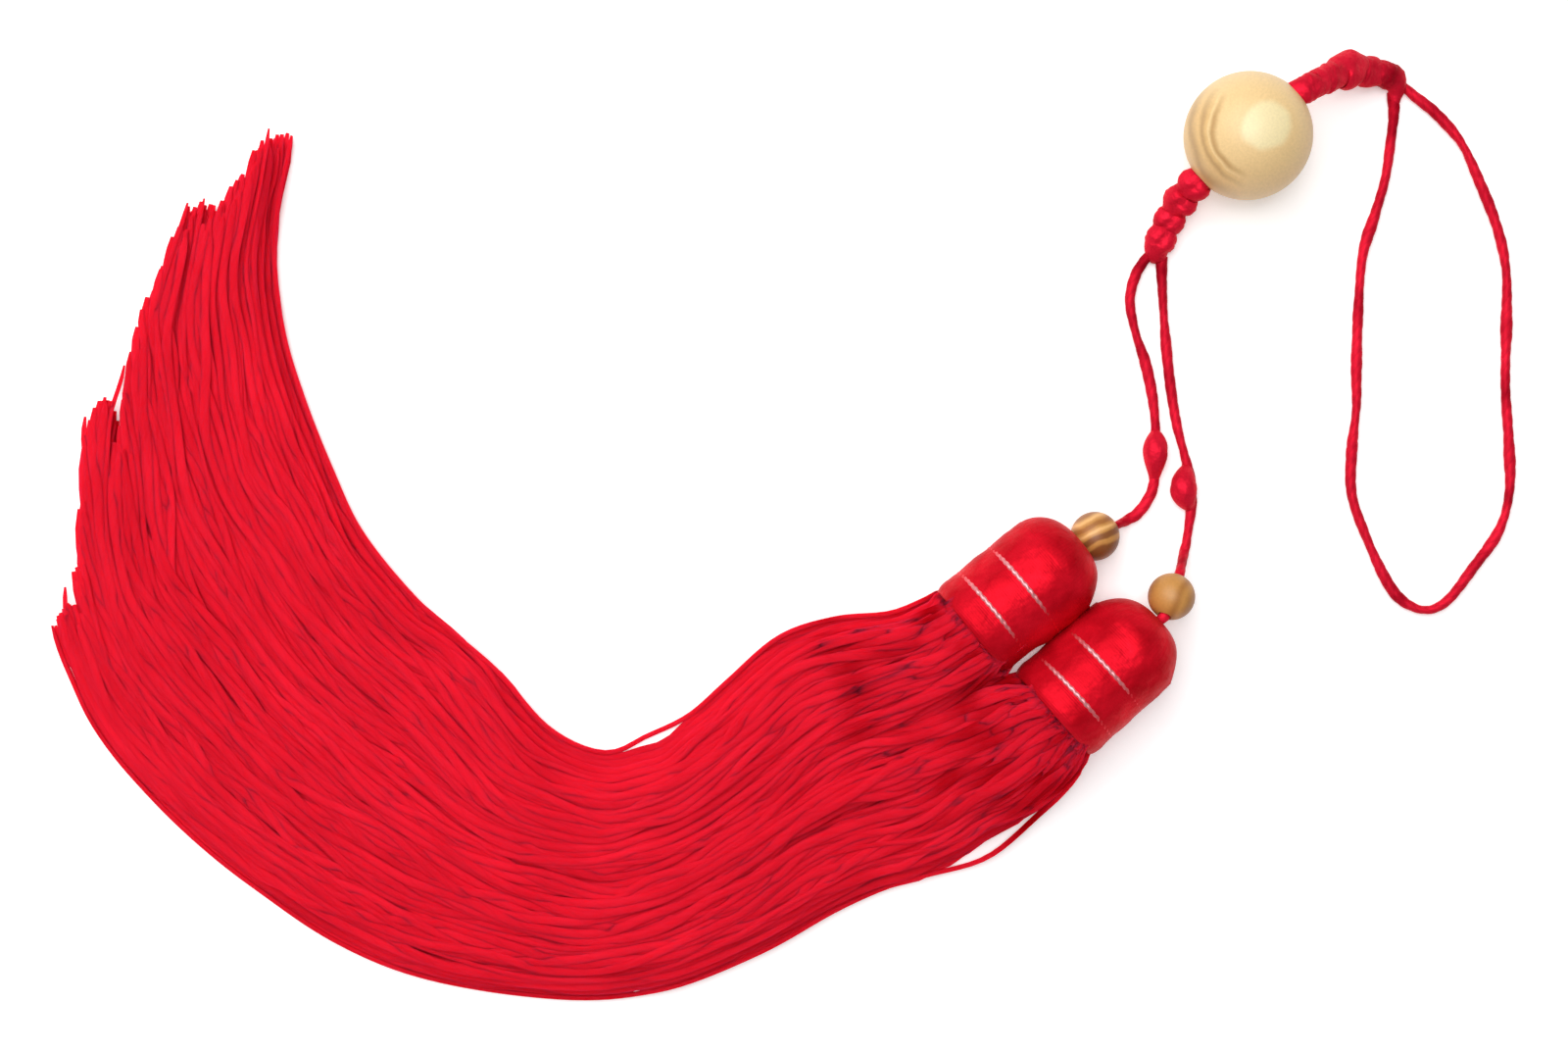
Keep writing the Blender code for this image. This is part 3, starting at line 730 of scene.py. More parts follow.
# Where the two barrels touch: heights above the rim, how far each one bulges there, and how
# wide the touching place is as an angle
PRESSED_HEIGHTS = (0.0, 7.0, 9.5, 18.0)
PRESSED = {"left": (-0.5, -0.4, 0.2, 0.1), "right": (0.6, 0.5, 0.5, 0.15)}
PRESSED_ANGLE = 0.6


def rim_frame(side):
    """Rim centre, dome direction, and the directions to the right and up of a head."""
    x, y, degrees = HEADS[side]
    axis = heading(degrees)
    return np.array((x, y, HEAD_HEIGHT)), axis, np.cross(axis, (0, 0, 1)), np.array((0, 0, 1.0))


def turned(side, outline):
    """Rings of a head's form, from (height, radius) pairs; a radius may differ round it."""
    rim, axis, right, up = rim_frame(side)
    heights = np.array([height for height, _ in outline])
    radii = np.stack([np.broadcast_to(radius, HEAD_SIDES) for _, radius in outline])
    around = spokes(HEAD_ANGLES, right, up)
    return (rim + heights[:, None, None] * axis + radii[..., None] * around)[None]


def pressed(side, height, angle):
    """How far a soft barrel gives way to the other head, where the two face each other (mm)."""
    facing = 0.0 if side == "left" else math.pi
    turn = np.abs((angle - facing + math.pi) % (2 * math.pi) - math.pi)
    return np.interp(height, PRESSED_HEIGHTS, PRESSED[side]) * bump(turn, 0, PRESSED_ANGLE)


print("the left rim's centre is at", rim_frame("left")[0].round(1).tolist())

# %% Winding
CAP_WALL = 0.9
WINDING_PITCH = 0.4
WINDING_RIDGE = 0.045
# How far the barrel swells between its threads, is drawn in at them, and at its rim over how long
BARREL_SWELL = 0.16
THREAD_WAIST = 0.1
RIM_DRAWN = 0.35
RIM_SOFT = 1.3
THREAD_PLACES = (4.7, 11.4)


def winding(side, seed):
    """The wound barrel, from inside its rim over the ridge of thread to the dome."""
    angle = HEAD_ANGLES
    outline = [(0.0, HEAD_RADIUS - CAP_WALL), (-0.12, HEAD_RADIUS - 0.65)]
    bands = (0.0, *THREAD_PLACES, HEAD_BARREL)
    for height in np.arange(0.05, HEAD_BARREL + 0.3, WINDING_PITCH / 4):
        turn = height / WINDING_PITCH + angle / (2 * math.pi)
        ridge = WINDING_RIDGE * np.abs(np.sin(math.pi * turn))
        part = np.interp(height, bands, range(len(bands))) % 1.0
        swell = BARREL_SWELL * math.sin(math.pi * part) - THREAD_WAIST
        lumps = 0.05 * np.sin(2 * angle + waves(height, 9.0, seed) * 2) * waves(height, 5.0, seed + 1)
        drawn_in = RIM_DRAWN * max(0.0, 1 - height / RIM_SOFT) ** 2
        radius = HEAD_RADIUS + swell + ridge + lumps - drawn_in + pressed(side, height, angle)
        outline.append((height, radius))
    outline.append((HEAD_BARREL + 0.5, HEAD_RADIUS - 0.5))
    outline.append((HEAD_BARREL, HEAD_RADIUS - CAP_WALL))
    rings = turned(side, outline)
    node_name = f"head_cap_{side}"
    return ringed(f"head_winding_{side}", rings, satin, node_name, closed=True, sharp=80)


print(f"the winding has {HEAD_BARREL / WINDING_PITCH:.0f} turns")

# %% Dome
PLEATS = 40
PLEAT_DEPTH = 0.05
# The outline climbs from one angle through a sweep (degrees), flatter than a circle on its side
DOME_START = 4
DOME_SWEEP = 73
DOME_ROUND = (0.76, 1.15)
# How much each dome gives way at its right side and at its left side, as shares of its radius
DOME_GIVE = {"left": (0.075, 0.0), "right": (0.10, 0.04)}


def dome(side, seed):
    """The pleated dome, from inside the barrel over its top and down into the cord's hole."""
    angle = HEAD_ANGLES
    base = HEAD_RADIUS - 0.12
    right_give, left_give = DOME_GIVE[side]
    outline = [(HEAD_BARREL - 0.6, base - 0.8), (HEAD_BARREL - 0.6, base - 0.05)]
    for share in np.linspace(0.0, 1.0, 40):
        lift = math.radians(DOME_START + share * DOME_SWEEP)
        radius = base * math.cos(lift) ** DOME_ROUND[0]
        height = HEAD_BARREL + HEAD_DOME * math.sin(lift) ** DOME_ROUND[1]
        fade = math.sin(math.pi * min(1.0, share * 1.1)) ** 0.6 if share < 0.9 else 0.3
        pleat = PLEAT_DEPTH * fade * np.cos(PLEATS * angle + waves(angle * 4, 7.0, seed) * 1.5)
        middle = math.sin(math.pi * share)
        facing = np.cos(angle)
        give = right_give * np.clip(facing, 0, 1) ** 2 + left_give * np.clip(-facing, 0, 1) ** 2
        lumps = 0.10 * np.sin(3 * angle + seed) * middle - give * base * middle
        outline.append((height, radius + (pleat + lumps) * radius / base))
    # Down into the cord's hole, and out again under the dome
    hole = outline[-1][0]
    outline += [(hole - 0.15, 1.55), (hole - 1.6, 1.25), (hole - 2.6, 1.3), (HEAD_BARREL - 0.6, 3.0)]
    rings = turned(side, outline)
    return ringed(f"head_dome_{side}", rings, satin_dome, f"head_cap_{side}", closed=True)


for seed, side in enumerate(HEADS):
    barrel = winding(side, 40 + seed)
    top = dome(side, 50 + seed)
    print(f"{barrel.name} and {top.name}: {len(barrel.data.polygons) + len(top.data.polygons)} faces")

# %% [markdown]
# ## Metal threads
#
# Two turns of silver thread mark each head. The thread is two plies of thin
# foil, twisted, so its rings are an oval that rolls as it goes round the head.
# It is silver on one stretch, where the light catches it. Elsewhere it sinks a
# little between the turns of silk, and a tone that each ring carries fades its
# colour from rosy silver to red: painted shade, where its reflection dims.

# %% Silver finish
ROSY_SILVER = (0.93, 0.52, 0.53)
DULL_ROSE = (0.84, 0.22, 0.26)

silver, silver_tree, silver_shader = new_paint("silver_thread")
foil = place_group(silver_tree, CLOUDS, Size_in_mm=1.2)
silver_colour = mixed(silver_tree, foil.outputs[0], (*ROSY_SILVER, 1), (*DULL_ROSE, 1))
# Painted shade: the tone that each ring carries fades the silver to the satin's red
thread_shade = node(silver_tree, "ShaderNodeAttribute", attribute_name="tone")
thread_colour = mixed(silver_tree, thread_shade.outputs["Fac"], silver_colour, (*SATIN_RED, 1))
silver_tree.links.new(thread_colour, silver_shader.inputs["Base Color"])
set_inputs(silver_shader, {"Metallic": 0.6, "Roughness": 0.42})
print("finish:", silver.name)

# %% Silver thread
THREAD_RADIUS = 0.45
THREAD_TWISTS = 46
THREAD_STEPS = 368
THREAD_SIDES = 10
# The thread bows towards the dome on top. It is silver on one stretch, where the light catches
# it; elsewhere it sinks a little, and its colour fades to red as painted shade. The middle of
# that stretch is an angle from the right side, and it fades over two more angles from there.
THREAD_BOW = 0.3
THREAD_SHOWS = 1.85
THREAD_FADE = (0.3, 0.6)
THREAD_SINK = 0.3


def metal_thread(side, place, label):
    """One turn of twisted silver thread round a head, at a height above its rim."""
    rim, axis, right, up = rim_frame(side)
    turn = round_turn(THREAD_STEPS)
    out = spokes(turn, right, up)
    facing = (turn - THREAD_SHOWS + math.pi) % (2 * math.pi) - math.pi
    # Tone 0 is the lit stretch; towards 1 the colour fades to red as painted shade and the thread sinks
    tone = ramp(np.abs(facing), *THREAD_FADE)
    reach = HEAD_RADIUS - 0.12 - THREAD_SINK * tone + pressed(side, place, turn)
    centres = rim + out * reach[:, None] + axis * (place + THREAD_BOW * np.sin(turn))[:, None]
    angle = round_turn(THREAD_SIDES)
    roll = THREAD_TWISTS * turn[:, None] / 2
    radii = THREAD_RADIUS * (1 - 0.28 * np.sin(angle - roll) ** 2)
    rings = centres[:, None] + (radii * np.cos(angle))[..., None] * out[:, None]
    rings = rings + (radii * np.sin(angle))[..., None] * axis
    name = f"metal_thread_{side}_{label}"
    return ringed(
        f"silver_{side}_{label}", rings[None], silver, name, tone=tone, closed=True,
    )


for side in HEADS:
    for place, label in zip(THREAD_PLACES, ("low", "high")):
        metal_thread(side, place, label)
print(f"four silver threads of {THREAD_TWISTS} twists")

# %% [markdown]
# ## Wood
#
# The ball is turned from a pale wood, and the beads from a striped one. A ball
# cut from a branch shows the growth rings as circles where they meet its skin.
# So the colour depends on the distance from the tree's own axis, a line beside
# the ball, with noise that makes the rings uneven. One shader group measures
# that distance, and the two woods read it through different colour ramps. The
# outer rings are strong on one side only, so the group also masks that side.

# %% Growth ring group
# How finely the rings wander and the grain is broken up, and how long the grain is
RING_NOISE = 0.16
GRAIN_NOISE = 2.6
GRAIN_STRETCH = 0.12
# The rings show on one side, from one share of facing it to another, or near the tree's axis
SIDE_FADE = (0.55, 0.9)
AXIS_FADE = 2.0


def vector_maths(tree, operation, values):
    """A Vector Math node."""
    return node(tree, "ShaderNodeVectorMath", values, operation=operation)


def growth_group():
    """Distance from the tree's axis, fine grain along it, and the side that shows its rings."""
    group, given, result = new_group(
        "growth_rings",
        [
            ("NodeSocketVector", "Tree centre in mm", (0.0, 0.0, 0.0)),
            ("NodeSocketVector", "Tree turn", (0.0, 0.0, 0.0)),
            ("NodeSocketFloat", "Unevenness in mm", 0.4),
            ("NodeSocketVector", "Marked side", (0.0, 0.0, 0.0)),
            ("NodeSocketFloat", "Marked all round within", 6.0),
        ],
        [("NodeSocketFloat", "Distance"), ("NodeSocketFloat", "Grain"), ("NodeSocketFloat", "Marked")],
    )
    place = node(group, "ShaderNodeTexCoord").outputs["Object"]
    big = vector_maths(group, "SCALE", {0: place, "Scale": 1 / MM})
    moved = vector_maths(group, "SUBTRACT", {0: big.outputs[0], 1: given.outputs[0]})
    stood = node(
        group, "ShaderNodeVectorRotate", {"Vector": moved.outputs[0], "Rotation": given.outputs[1]},
        rotation_type="EULER_XYZ",
    ).outputs[0]
    flat = vector_maths(group, "MULTIPLY", {0: stood, 1: (1, 1, 0)})
    far = vector_maths(group, "LENGTH", {0: flat.outputs[0]}).outputs["Value"]
    noise = node(group, "ShaderNodeTexNoise", {"Vector": stood, "Scale": RING_NOISE, "Detail": 2.0})
    about_zero = maths(group, "SUBTRACT", noise.outputs[0], 0.5)
    shift = maths(group, "MULTIPLY", about_zero, given.outputs[2])
    group.links.new(maths(group, "MULTIPLY_ADD", shift, 2.0, far), result.inputs["Distance"])
    outwards = vector_maths(group, "NORMALIZE", {0: flat.outputs[0]})
    facing = vector_maths(group, "DOT_PRODUCT", {0: outwards.outputs[0], 1: given.outputs[3]})
    sided = {0: facing.outputs["Value"], 1: SIDE_FADE[0], 2: SIDE_FADE[1]}
    beside = node(group, "ShaderNodeMapRange", sided)
    beyond = maths(group, "SUBTRACT", far, given.outputs[4])
    within = node(group, "ShaderNodeMapRange", {0: beyond, 1: 0.0, 2: AXIS_FADE, 3: 1.0, 4: 0.0})
    marked = maths(group, "MAXIMUM", beside.outputs[0], within.outputs[0])
    group.links.new(marked, result.inputs["Marked"])
    stretched = vector_maths(group, "MULTIPLY", {0: stood, 1: (1, 1, GRAIN_STRETCH)})
    fine = {"Vector": stretched.outputs[0], "Scale": GRAIN_NOISE, "Detail": 4.0}
    grain = node(group, "ShaderNodeTexNoise", fine)
    group.links.new(grain.outputs[0], result.inputs["Grain"])
    return group


GROWTH = growth_group()
print("growth ring group:", GROWTH.name)

# %% Wood finish
WOOD_UNEVEN = 0.9
GRAIN_STRENGTH = 0.22
GRAIN_ROUGHNESS = 0.2
GRAIN_DEPTH = 0.05


def wood(name, stops, reach, tree_centre, tree_turn, roughness, coat, marked=None, plain=None):
    """A wood whose colours are given at distances (mm) from the tree's axis."""
    paint, tree, shader = new_paint(name)
    growth = place_group(
        tree, GROWTH, Tree_centre_in_mm=tree_centre, Tree_turn=tree_turn,
        Unevenness_in_mm=WOOD_UNEVEN, Marked_side=marked or (0, 0, 0),
    )
    layers = node(tree, "ShaderNodeValToRGB", {0: maths(tree, "DIVIDE", growth.outputs[0], reach)})
    layers.color_ramp.interpolation = "EASE"
    for i, (distance, colour) in enumerate(stops):
        stop = layers.color_ramp.elements[i] if i < 2 else layers.color_ramp.elements.new(1.0)
        stop.position = distance / reach
        stop.color = (*colour, 1)
    colour = layers.outputs[0]
    if marked:
        colour = mixed(tree, growth.outputs["Marked"], (*plain, 1), colour)
    darker = node(
        tree, "ShaderNodeMix",
        {0: GRAIN_STRENGTH, 6: colour, 7: growth.outputs["Grain"]},
        data_type="RGBA", blend_type="MULTIPLY",
    )
    tree.links.new(darker.outputs[2], shader.inputs["Base Color"])
    smoothest = roughness - GRAIN_ROUGHNESS / 2
    rough = maths(tree, "MULTIPLY_ADD", growth.outputs["Grain"], GRAIN_ROUGHNESS, smoothest)
    tree.links.new(rough, shader.inputs["Roughness"])
    relief = {"Height": growth.outputs["Grain"], "Distance": GRAIN_DEPTH * MM, "Strength": 0.3}
    tree.links.new(node(tree, "ShaderNodeBump", relief).outputs[0], shader.inputs["Normal"])
    set_inputs(shader, {"Coat Weight": coat, "Coat Roughness": 0.25})
    return paint


print("wood grain", GRAIN_DEPTH, "mm deep")

# %% Ball
CREAM = (0.98, 0.82, 0.46)
PALE = (0.93, 0.65, 0.31)
TAN = (0.84, 0.54, 0.22)
RING_BROWN = (0.60, 0.36, 0.14)
BALL_BORE = 2.2
MOUTH_SOFT = 0.012
# The tree's axis: a point on it and its direction; and the side of the ball that shows its rings
HEART_PLACE = (89.6, 65.6, 20.9)
HEART_LINE = (-0.19, -0.16, 0.97)
RING_SIDE = (-0.96, -0.28, 0)
# Colours by their distance (mm) from the tree's axis. On the ringed side the tan outer layers are
# partly painted shade, darker towards the ball's edge
BALL_LAYERS = (
    (0.0, CREAM), (3.2, CREAM), (4.6, PALE), (7.8, PALE), (8.8, RING_BROWN), (9.4, PALE), (9.7, TAN),
    (10.4, RING_BROWN), (11.1, TAN), (12.4, RING_BROWN), (13.4, TAN),
)
BALL_LAYERS_REACH = 18.0


def turn_upright(direction):
    """The turn that stands a direction upright, as the three angles of a rotate node."""
    x, y, z = direction
    return (math.atan2(y, z), math.atan2(-x, math.hypot(y, z)), 0.0)


pale_wood = wood(
    "pale_wood", BALL_LAYERS, BALL_LAYERS_REACH, tuple(np.array(HEART_PLACE) - DRAWING_ORIGIN),
    turn_upright(HEART_LINE), roughness=0.48, coat=0.08, marked=RING_SIDE, plain=PALE,
)
print("ball wood:", pale_wood.name)

# %% Turn the ball
def turned_wood_rings(centre, axis, radius, bore, stations, sides):
    """A bored ball: out of one mouth of the bore, round the ball and back through it."""
    mouth = math.asin(bore / radius)
    lift = np.linspace(mouth, math.pi - mouth, stations)
    soft = MOUTH_SOFT * radius
    outline = [(-radius * math.cos(a), radius * math.sin(a)) for a in lift]
    first, last = outline[0][0], outline[-1][0]
    inner = [(last - soft, bore - soft), (0.0, bore - soft), (first + soft, bore - soft)]
    heights, radii = np.array([*outline, *inner]).T
    line = centre + heights[:, None] * axis
    right = unit(np.cross(axis, (0, 0, 1)))
    around = spokes(round_turn(sides), right, np.cross(right, axis))
    return (line[:, None] + radii[:, None, None] * around)[None]


ball_rings = turned_wood_rings(BALL_CENTRE, BALL_AXIS, BALL_RADIUS, BALL_BORE, stations=64, sides=96)
ball = ringed("turned_ball", ball_rings, pale_wood, "ball", closed=True)
print(f"ball with {len(ball.data.polygons)} faces")

# %% [markdown]
# ## Small beads
#
# Each bead is about 8 mm across, one a little larger than the other, turned so
# that the dark and light layers of its wood run along the bore. Its tree axis is
# far away, so the layers look straight. The brown at both sides of each bead is
# painted shade on its edges.

# %% Beads
GOLD = (0.62, 0.29, 0.07)
BRIGHT_GOLD = (0.94, 0.53, 0.19)
BROWN = (0.40, 0.15, 0.03)
SOFT_BROWN = (0.46, 0.19, 0.04)
DARK_BAND = (0.27, 0.09, 0.02)
BEAD_BORE = 1.2
TREE_DISTANCE = 30.0
# Layers by their distance (mm) from one side of each bead; the brown at both ends is painted shade
# on the bead's edges
BEAD_LAYERS = {
    "left": (
        (0.0, BROWN), (1.0, DARK_BAND), (1.9, DARK_BAND), (2.5, GOLD), (2.9, GOLD), (3.3, DARK_BAND),
        (4.0, DARK_BAND), (4.4, GOLD), (4.9, BRIGHT_GOLD), (5.4, GOLD), (5.8, BROWN), (6.2, BROWN),
        (6.6, GOLD), (7.1, BRIGHT_GOLD), (7.8, BROWN),
    ),
    "right": (
        (0.0, BROWN), (1.0, SOFT_BROWN), (2.1, GOLD), (3.1, SOFT_BROWN), (4.3, GOLD), (6.8, GOLD),
        (8.0, BROWN),
    ),
}


def bead(side):
    """A bored bead, whose wood is cut so that its layers run along the bore."""
    centre, bore = bead_place(side)
    across = heading(BEADS[side][3] + 90)
    tree = tuple(centre - DRAWING_ORIGIN - across * (BEAD_RADIUS + TREE_DISTANCE))
    layers = tuple((TREE_DISTANCE + distance, colour) for distance, colour in BEAD_LAYERS[side])
    farthest = TREE_DISTANCE + 2 * BEAD_RADIUS + 1.0
    upright = (0.0, 0.0, 0.0)
    paint = wood(f"striped_wood_{side}", layers, farthest, tree, upright, roughness=0.5, coat=0.05)
    radius = BEAD_RADIUS * BEAD_SIZE[side]
    rings = turned_wood_rings(centre, bore, radius, BEAD_BORE, stations=32, sides=48)
    return ringed(f"turned_bead_{side}", rings, paint, f"bead_{side}", closed=True)


for side in BEADS:
    print("made", bead(side).name)

# %% [markdown]
# ## Fringes
#
# The fringes are hundreds of yarns that leave each head as a round bundle, sink
# to the table within a few centimetres, merge, and sweep round in one long curve
# to a ragged cut end. Hair curves would be quick, but yarn this thick shows how
# it piles up. So every yarn is laid as the real one is: a height map holds the
# top of the pile, each new yarn slides a little towards the nearest valley, and
# then it rests on what already lies there.

# %% The fringe's course
# Ribs across both fringes, from the heads to the tips: inner x, y, outer x, y
RIBS = np.array((
    (33.2, -12.9, 60.4, -42.8), (27.6, -15.0, 55.5, -48.7), (18.4, -15.9, 46.3, -56.2),
    (9.0, -19.1, 33.6, -60.4), (0.0, -26.9, 19.9, -66.6), (-6.9, -33.2, 5.7, -74.4),
    (-13.7, -37.5, -10.4, -80.6), (-20.8, -39.3, -27.3, -82.3), (-30.5, -34.9, -49.4, -79.4),
    (-40.5, -23.9, -66.8, -72.8), (-52.4, -13.7, -83.8, -61.5), (-62.6, -1.4, -98.8, -48.2),
    (-68.1, 9.9, -110.2, -34.0), (-72.9, 22.0, -116.9, -16.9), (-76.3, 33.9, -118.8, -1.7),
    (-77.8, 49.2, -118.0, 14.4), (-74.8, 67.5, -114.6, 32.2),
))
YARN_RADIUS = 0.42
YARN_WIDE = 1.75
YARN_TALL = 0.42
# Distance of the outermost yarns from a head's middle: inside, at its rim and just outside
NECK_PLACES = (-0.12, 0.0, 0.14)
NECK_RADII = (HEAD_RADIUS - CAP_WALL - YARN_RADIUS, HEAD_RADIUS - 0.55, HEAD_RADIUS - 0.3)
BUNDLE_RADIUS = NECK_RADII[-1]
# How many ribs from the heads the round bundle takes to lie flat
SETTLE = 3.6
# Where the two fringes meet on each of the first ribs, as a share from the inner edge
MEETING = (0.44, 0.43, 0.45, 0.48)


def sections(side):
    """Left x, y, right x, y, and roundness of one fringe at its rim and each rib."""
    x, y, degrees = HEADS[side]
    across = heading(degrees - 90)[:2] * BUNDLE_RADIUS
    rows = [(x - across[0], y - across[1], x + across[0], y + across[1], 1.0)]
    for i, rib in enumerate(RIBS):
        inner, outer = rib[:2], rib[2:]
        share = MEETING[i] if i < len(MEETING) else 0.5
        middle = inner + (outer - inner) * share
        left, right = (inner, middle) if side == "left" else (middle, outer)
        rows.append((*left, *right, max(0.0, 1 - (i + 1) / SETTLE)))
    return np.array(rows)


def softened(values, width):
    """Values along a line, blurred over about so many samples."""
    reach = np.arange(-2 * width, 2 * width + 1)
    weights = np.exp(-((reach / width) ** 2))
    padded = np.pad(values, 2 * width, mode="edge")
    return np.convolve(padded, weights / weights.sum(), mode="valid")


def highest(values, width):
    """The highest value within so many samples on either side."""
    padded = np.pad(values, width, mode="edge")
    return np.lib.stride_tricks.sliding_window_view(padded, 2 * width + 1).max(axis=1)


print(f"{len(RIBS)} ribs, bundle radius {BUNDLE_RADIUS:.2f} mm")

# %% [markdown]
# ### Locks
#
# Yarns don't lie one by one: they cling together in locks, which wander, narrow
# and cross. Each fringe has eleven locks side by side and four deep. A yarn keeps
# its place in its lock, and follows the lock's wander with a little of its own.
# The upper locks keep further in from the fringe's edge, so the pile has sides
# that slope. A pair of strands strays out past each free edge, some single yarns
# rove across the locks, and a few thin ends curl past the cut.

# %% Where the fringe ends and strays
# Where a fringe is cut: share of the width from the inner edge, and place along the ribs
CUT = np.array((
    (0.0, 17.2), (0.08, 17.1), (0.15, 16.9), (0.25, 16.8), (0.4, 17.05), (0.5, 16.65), (0.6, 15.85),
    (0.65, 14.95), (0.7, 15.25), (0.74, 15.8), (0.78, 16.05), (0.82, 15.4), (0.86, 14.45),
    (0.92, 13.8), (1.0, 14.15),
))
# Single ends that reach past the cut and curl: place across the fringe, extra length, curl
HOOKS = {
    "left": ((0.03, 0.05, 1.5), (0.33, -0.05, -2.0), (0.62, 0.15, 2.0), (0.85, 0.15, -2.4)),
    "right": (
        (0.2, 0.2, 2.0), (0.5, 0.25, -3.0), (0.62, 0.25, 3.0), (0.8, 0.2, -2.0), (0.93, 0.2, 2.6),
    ),
}
# Where the free edge draws in or swells, and where its strays leave it: place, reach along, mm
DENTS = {
    "left": ((6.6, 0.45, 0.9), (10.35, 0.5, -1.5)),
    "right": ((2.88, 0.34, 1.4), (3.9, 0.5, -1.6)),
}
STRAYS = {"left": (7.0, 0.8, 1.3), "right": (3.5, 0.7, 1.4)}


def cut_place(side, u):
    """Where along the ribs a fringe is cut, at a share of its own width."""
    return float(np.interp((u + (side == "right")) / 2, *CUT.T))


print("the two fringes are cut between ribs", CUT[:, 1].min(), "and", CUT[:, 1].max())

# %% Plan the yarns
COLUMNS = 11
ROWS = 4
YARNS_A_LOCK = 6
ROVERS = 5
STRAY_THIN = 0.55
HOOK_THIN = 0.6
# How locks differ, at random: place across at the head and at the tip (shares of a column),
# end (ribs), and length of one turn of their twist (mm)
LOCK_MOVED = 0.22
TIP_MOVED = 0.25
LOCK_SHORTER = (-0.14, 0.05)
LOCK_PITCH = (45, 90)
RAGGED = 0.015
# Yarns lie on a spiral round the lock's middle: how far out, and from one to the next (radians)
LOCK_FILL = 0.62
YARN_ANGLE = 2.4


def plan_locks(side, rng):
    """The yarns of a fringe's locks, as rows of choices, and the lock that was planned last."""
    yarns = []
    shorter = rng.uniform(*LOCK_SHORTER, COLUMNS)
    curls = rng.normal(0, 1.0, COLUMNS)
    moved = rng.uniform(-TIP_MOVED, TIP_MOVED, COLUMNS)
    for row in range(ROWS):
        level = (row + 0.5) / ROWS
        for column in rng.permutation(COLUMNS):
            centre = (column + 0.5 + rng.uniform(-LOCK_MOVED, LOCK_MOVED)) / COLUMNS
            lock = {
                "u": centre,
                "tip_u": (column + 0.5 + moved[column]) / COLUMNS,
                "v": level,
                "seed": int(rng.integers(1e6)),
                "end": cut_place(side, centre) + shorter[column] + rng.normal(0, RAGGED),
                "tone": rng.uniform(0, 1),
                "curl": curls[column] + rng.normal(0, 0.2),
                "lock_row": row,
                "stray": False,
                "thin": 1.0,
                "roves": False,
                "pitch": rng.uniform(*LOCK_PITCH) * rng.choice((-1, 1)),
            }
            for k in range(YARNS_A_LOCK):
                place = (k + 0.5) / YARNS_A_LOCK - 0.5
                oblique = cut_place(side, centre + place / COLUMNS) - cut_place(side, centre)
                yarns.append({
                    **lock,
                    "spread": LOCK_FILL * math.sqrt((k + 0.5) / YARNS_A_LOCK),
                    "turn": YARN_ANGLE * k + rng.uniform(-0.4, 0.4),
                    "fan_u": place / COLUMNS,
                    "fan_v": {0: 0.02, ROWS - 1: 0.98}.get(row, level),
                    "own": int(rng.integers(1e6)),
                    "cut": 0.7 * (oblique - place * place) + rng.normal(0, RAGGED),
                })
    return yarns, lock


def single(side, lock, start, finish, short, v, own, **more):
    """A yarn in no lock, from one share of the width to another, cut a little short."""
    return {
        **lock, "u": start, "tip_u": finish, "v": v, "fan_v": v, "own": own, "spread": 0.0, "turn": 0.0,
        "fan_u": 0.0, "curl": 0.0, "cut": 0.0, "end": cut_place(side, finish) - short, **more,
    }


def plan_yarns(side, rng):
    """A fringe's locks, then its strays, its curled ends and the yarns that rove across it."""
    yarns, lock = plan_locks(side, rng)
    edge = float(side == "right")
    for k in range(2):
        more = {"fan_v": 0.3, "stray": True, "thin": STRAY_THIN}
        yarns.append(single(side, lock, edge, edge, 0.2, 0.3 + 0.1 * k, k, **more))
    for place, extra, curl in HOOKS[side]:
        more = {"curl": curl, "cut": extra, "thin": HOOK_THIN}
        yarns.append(single(side, lock, place, place, 0.0, 0.9, int(100 * place), **more))
    for _ in range(ROVERS):
        start, drift = rng.uniform(0.2, 0.8), rng.uniform(0.15, 0.35) * rng.choice((-1, 1))
        finish = float(np.clip(start + drift, 0.08, 0.92))
        own = int(rng.integers(1e6))
        yarns.append(single(side, lock, start, finish, 0.25, 0.9, own, roves=True))
    return yarns


print(f"{COLUMNS} x {ROWS} locks of {YARNS_A_LOCK} yarns in each fringe")

# %% [markdown]
# ### A yarn's course
#
# A yarn's place is u, a share of the fringe's width from its left edge, and v, a
# share of the bundle's height. Near the head they are a place in the round
# bundle. Farther on the height comes from the pile, and v only keeps the upper
# yarns further in from the free edge. Along the ribs, u shifts with the wander of
# the lock and of the yarn, which fades near the cut: there each lock straightens
# and its yarns fan out again.

# %% Wander and free edge
# How far a lock and its yarns wander sideways, and over what length (mm)
LOCK_WANDER = (1.4, 95.0)
YARN_WANDER = (0.7, 48.0)
YARN_RIPPLE = (0.22, 17.0)
# How far the curl of an end reaches sideways, and back along the yarn (mm)
CURL = (0.7, 6.0)
# Lengths before the cut over which locks straighten, and their yarns fan out again (mm)
TIP_STRAIGHT = 16.0
TIP_FAN = 9.0
EDGE_SLOPE = 4.5


def wander(yarn, run, free, to_go):
    """How far a yarn shifts sideways (mm), by waves that grow as the bundle sets it free."""
    near_tip = bump(to_go, 0, TIP_STRAIGHT)
    parts = (
        (LOCK_WANDER, yarn["seed"] + 1, 1 - near_tip), (YARN_WANDER, yarn["own"], 1 - 0.6 * near_tip),
        (YARN_RIPPLE, yarn["own"] + 1, 1.0),
    )
    sideways = CURL[0] * yarn["curl"] * np.exp(-((to_go / CURL[1]) ** 1.5))
    for (shift, length), seed, share in parts:
        sideways = sideways + shift * waves(run, length, seed) * free * share
    return sideways


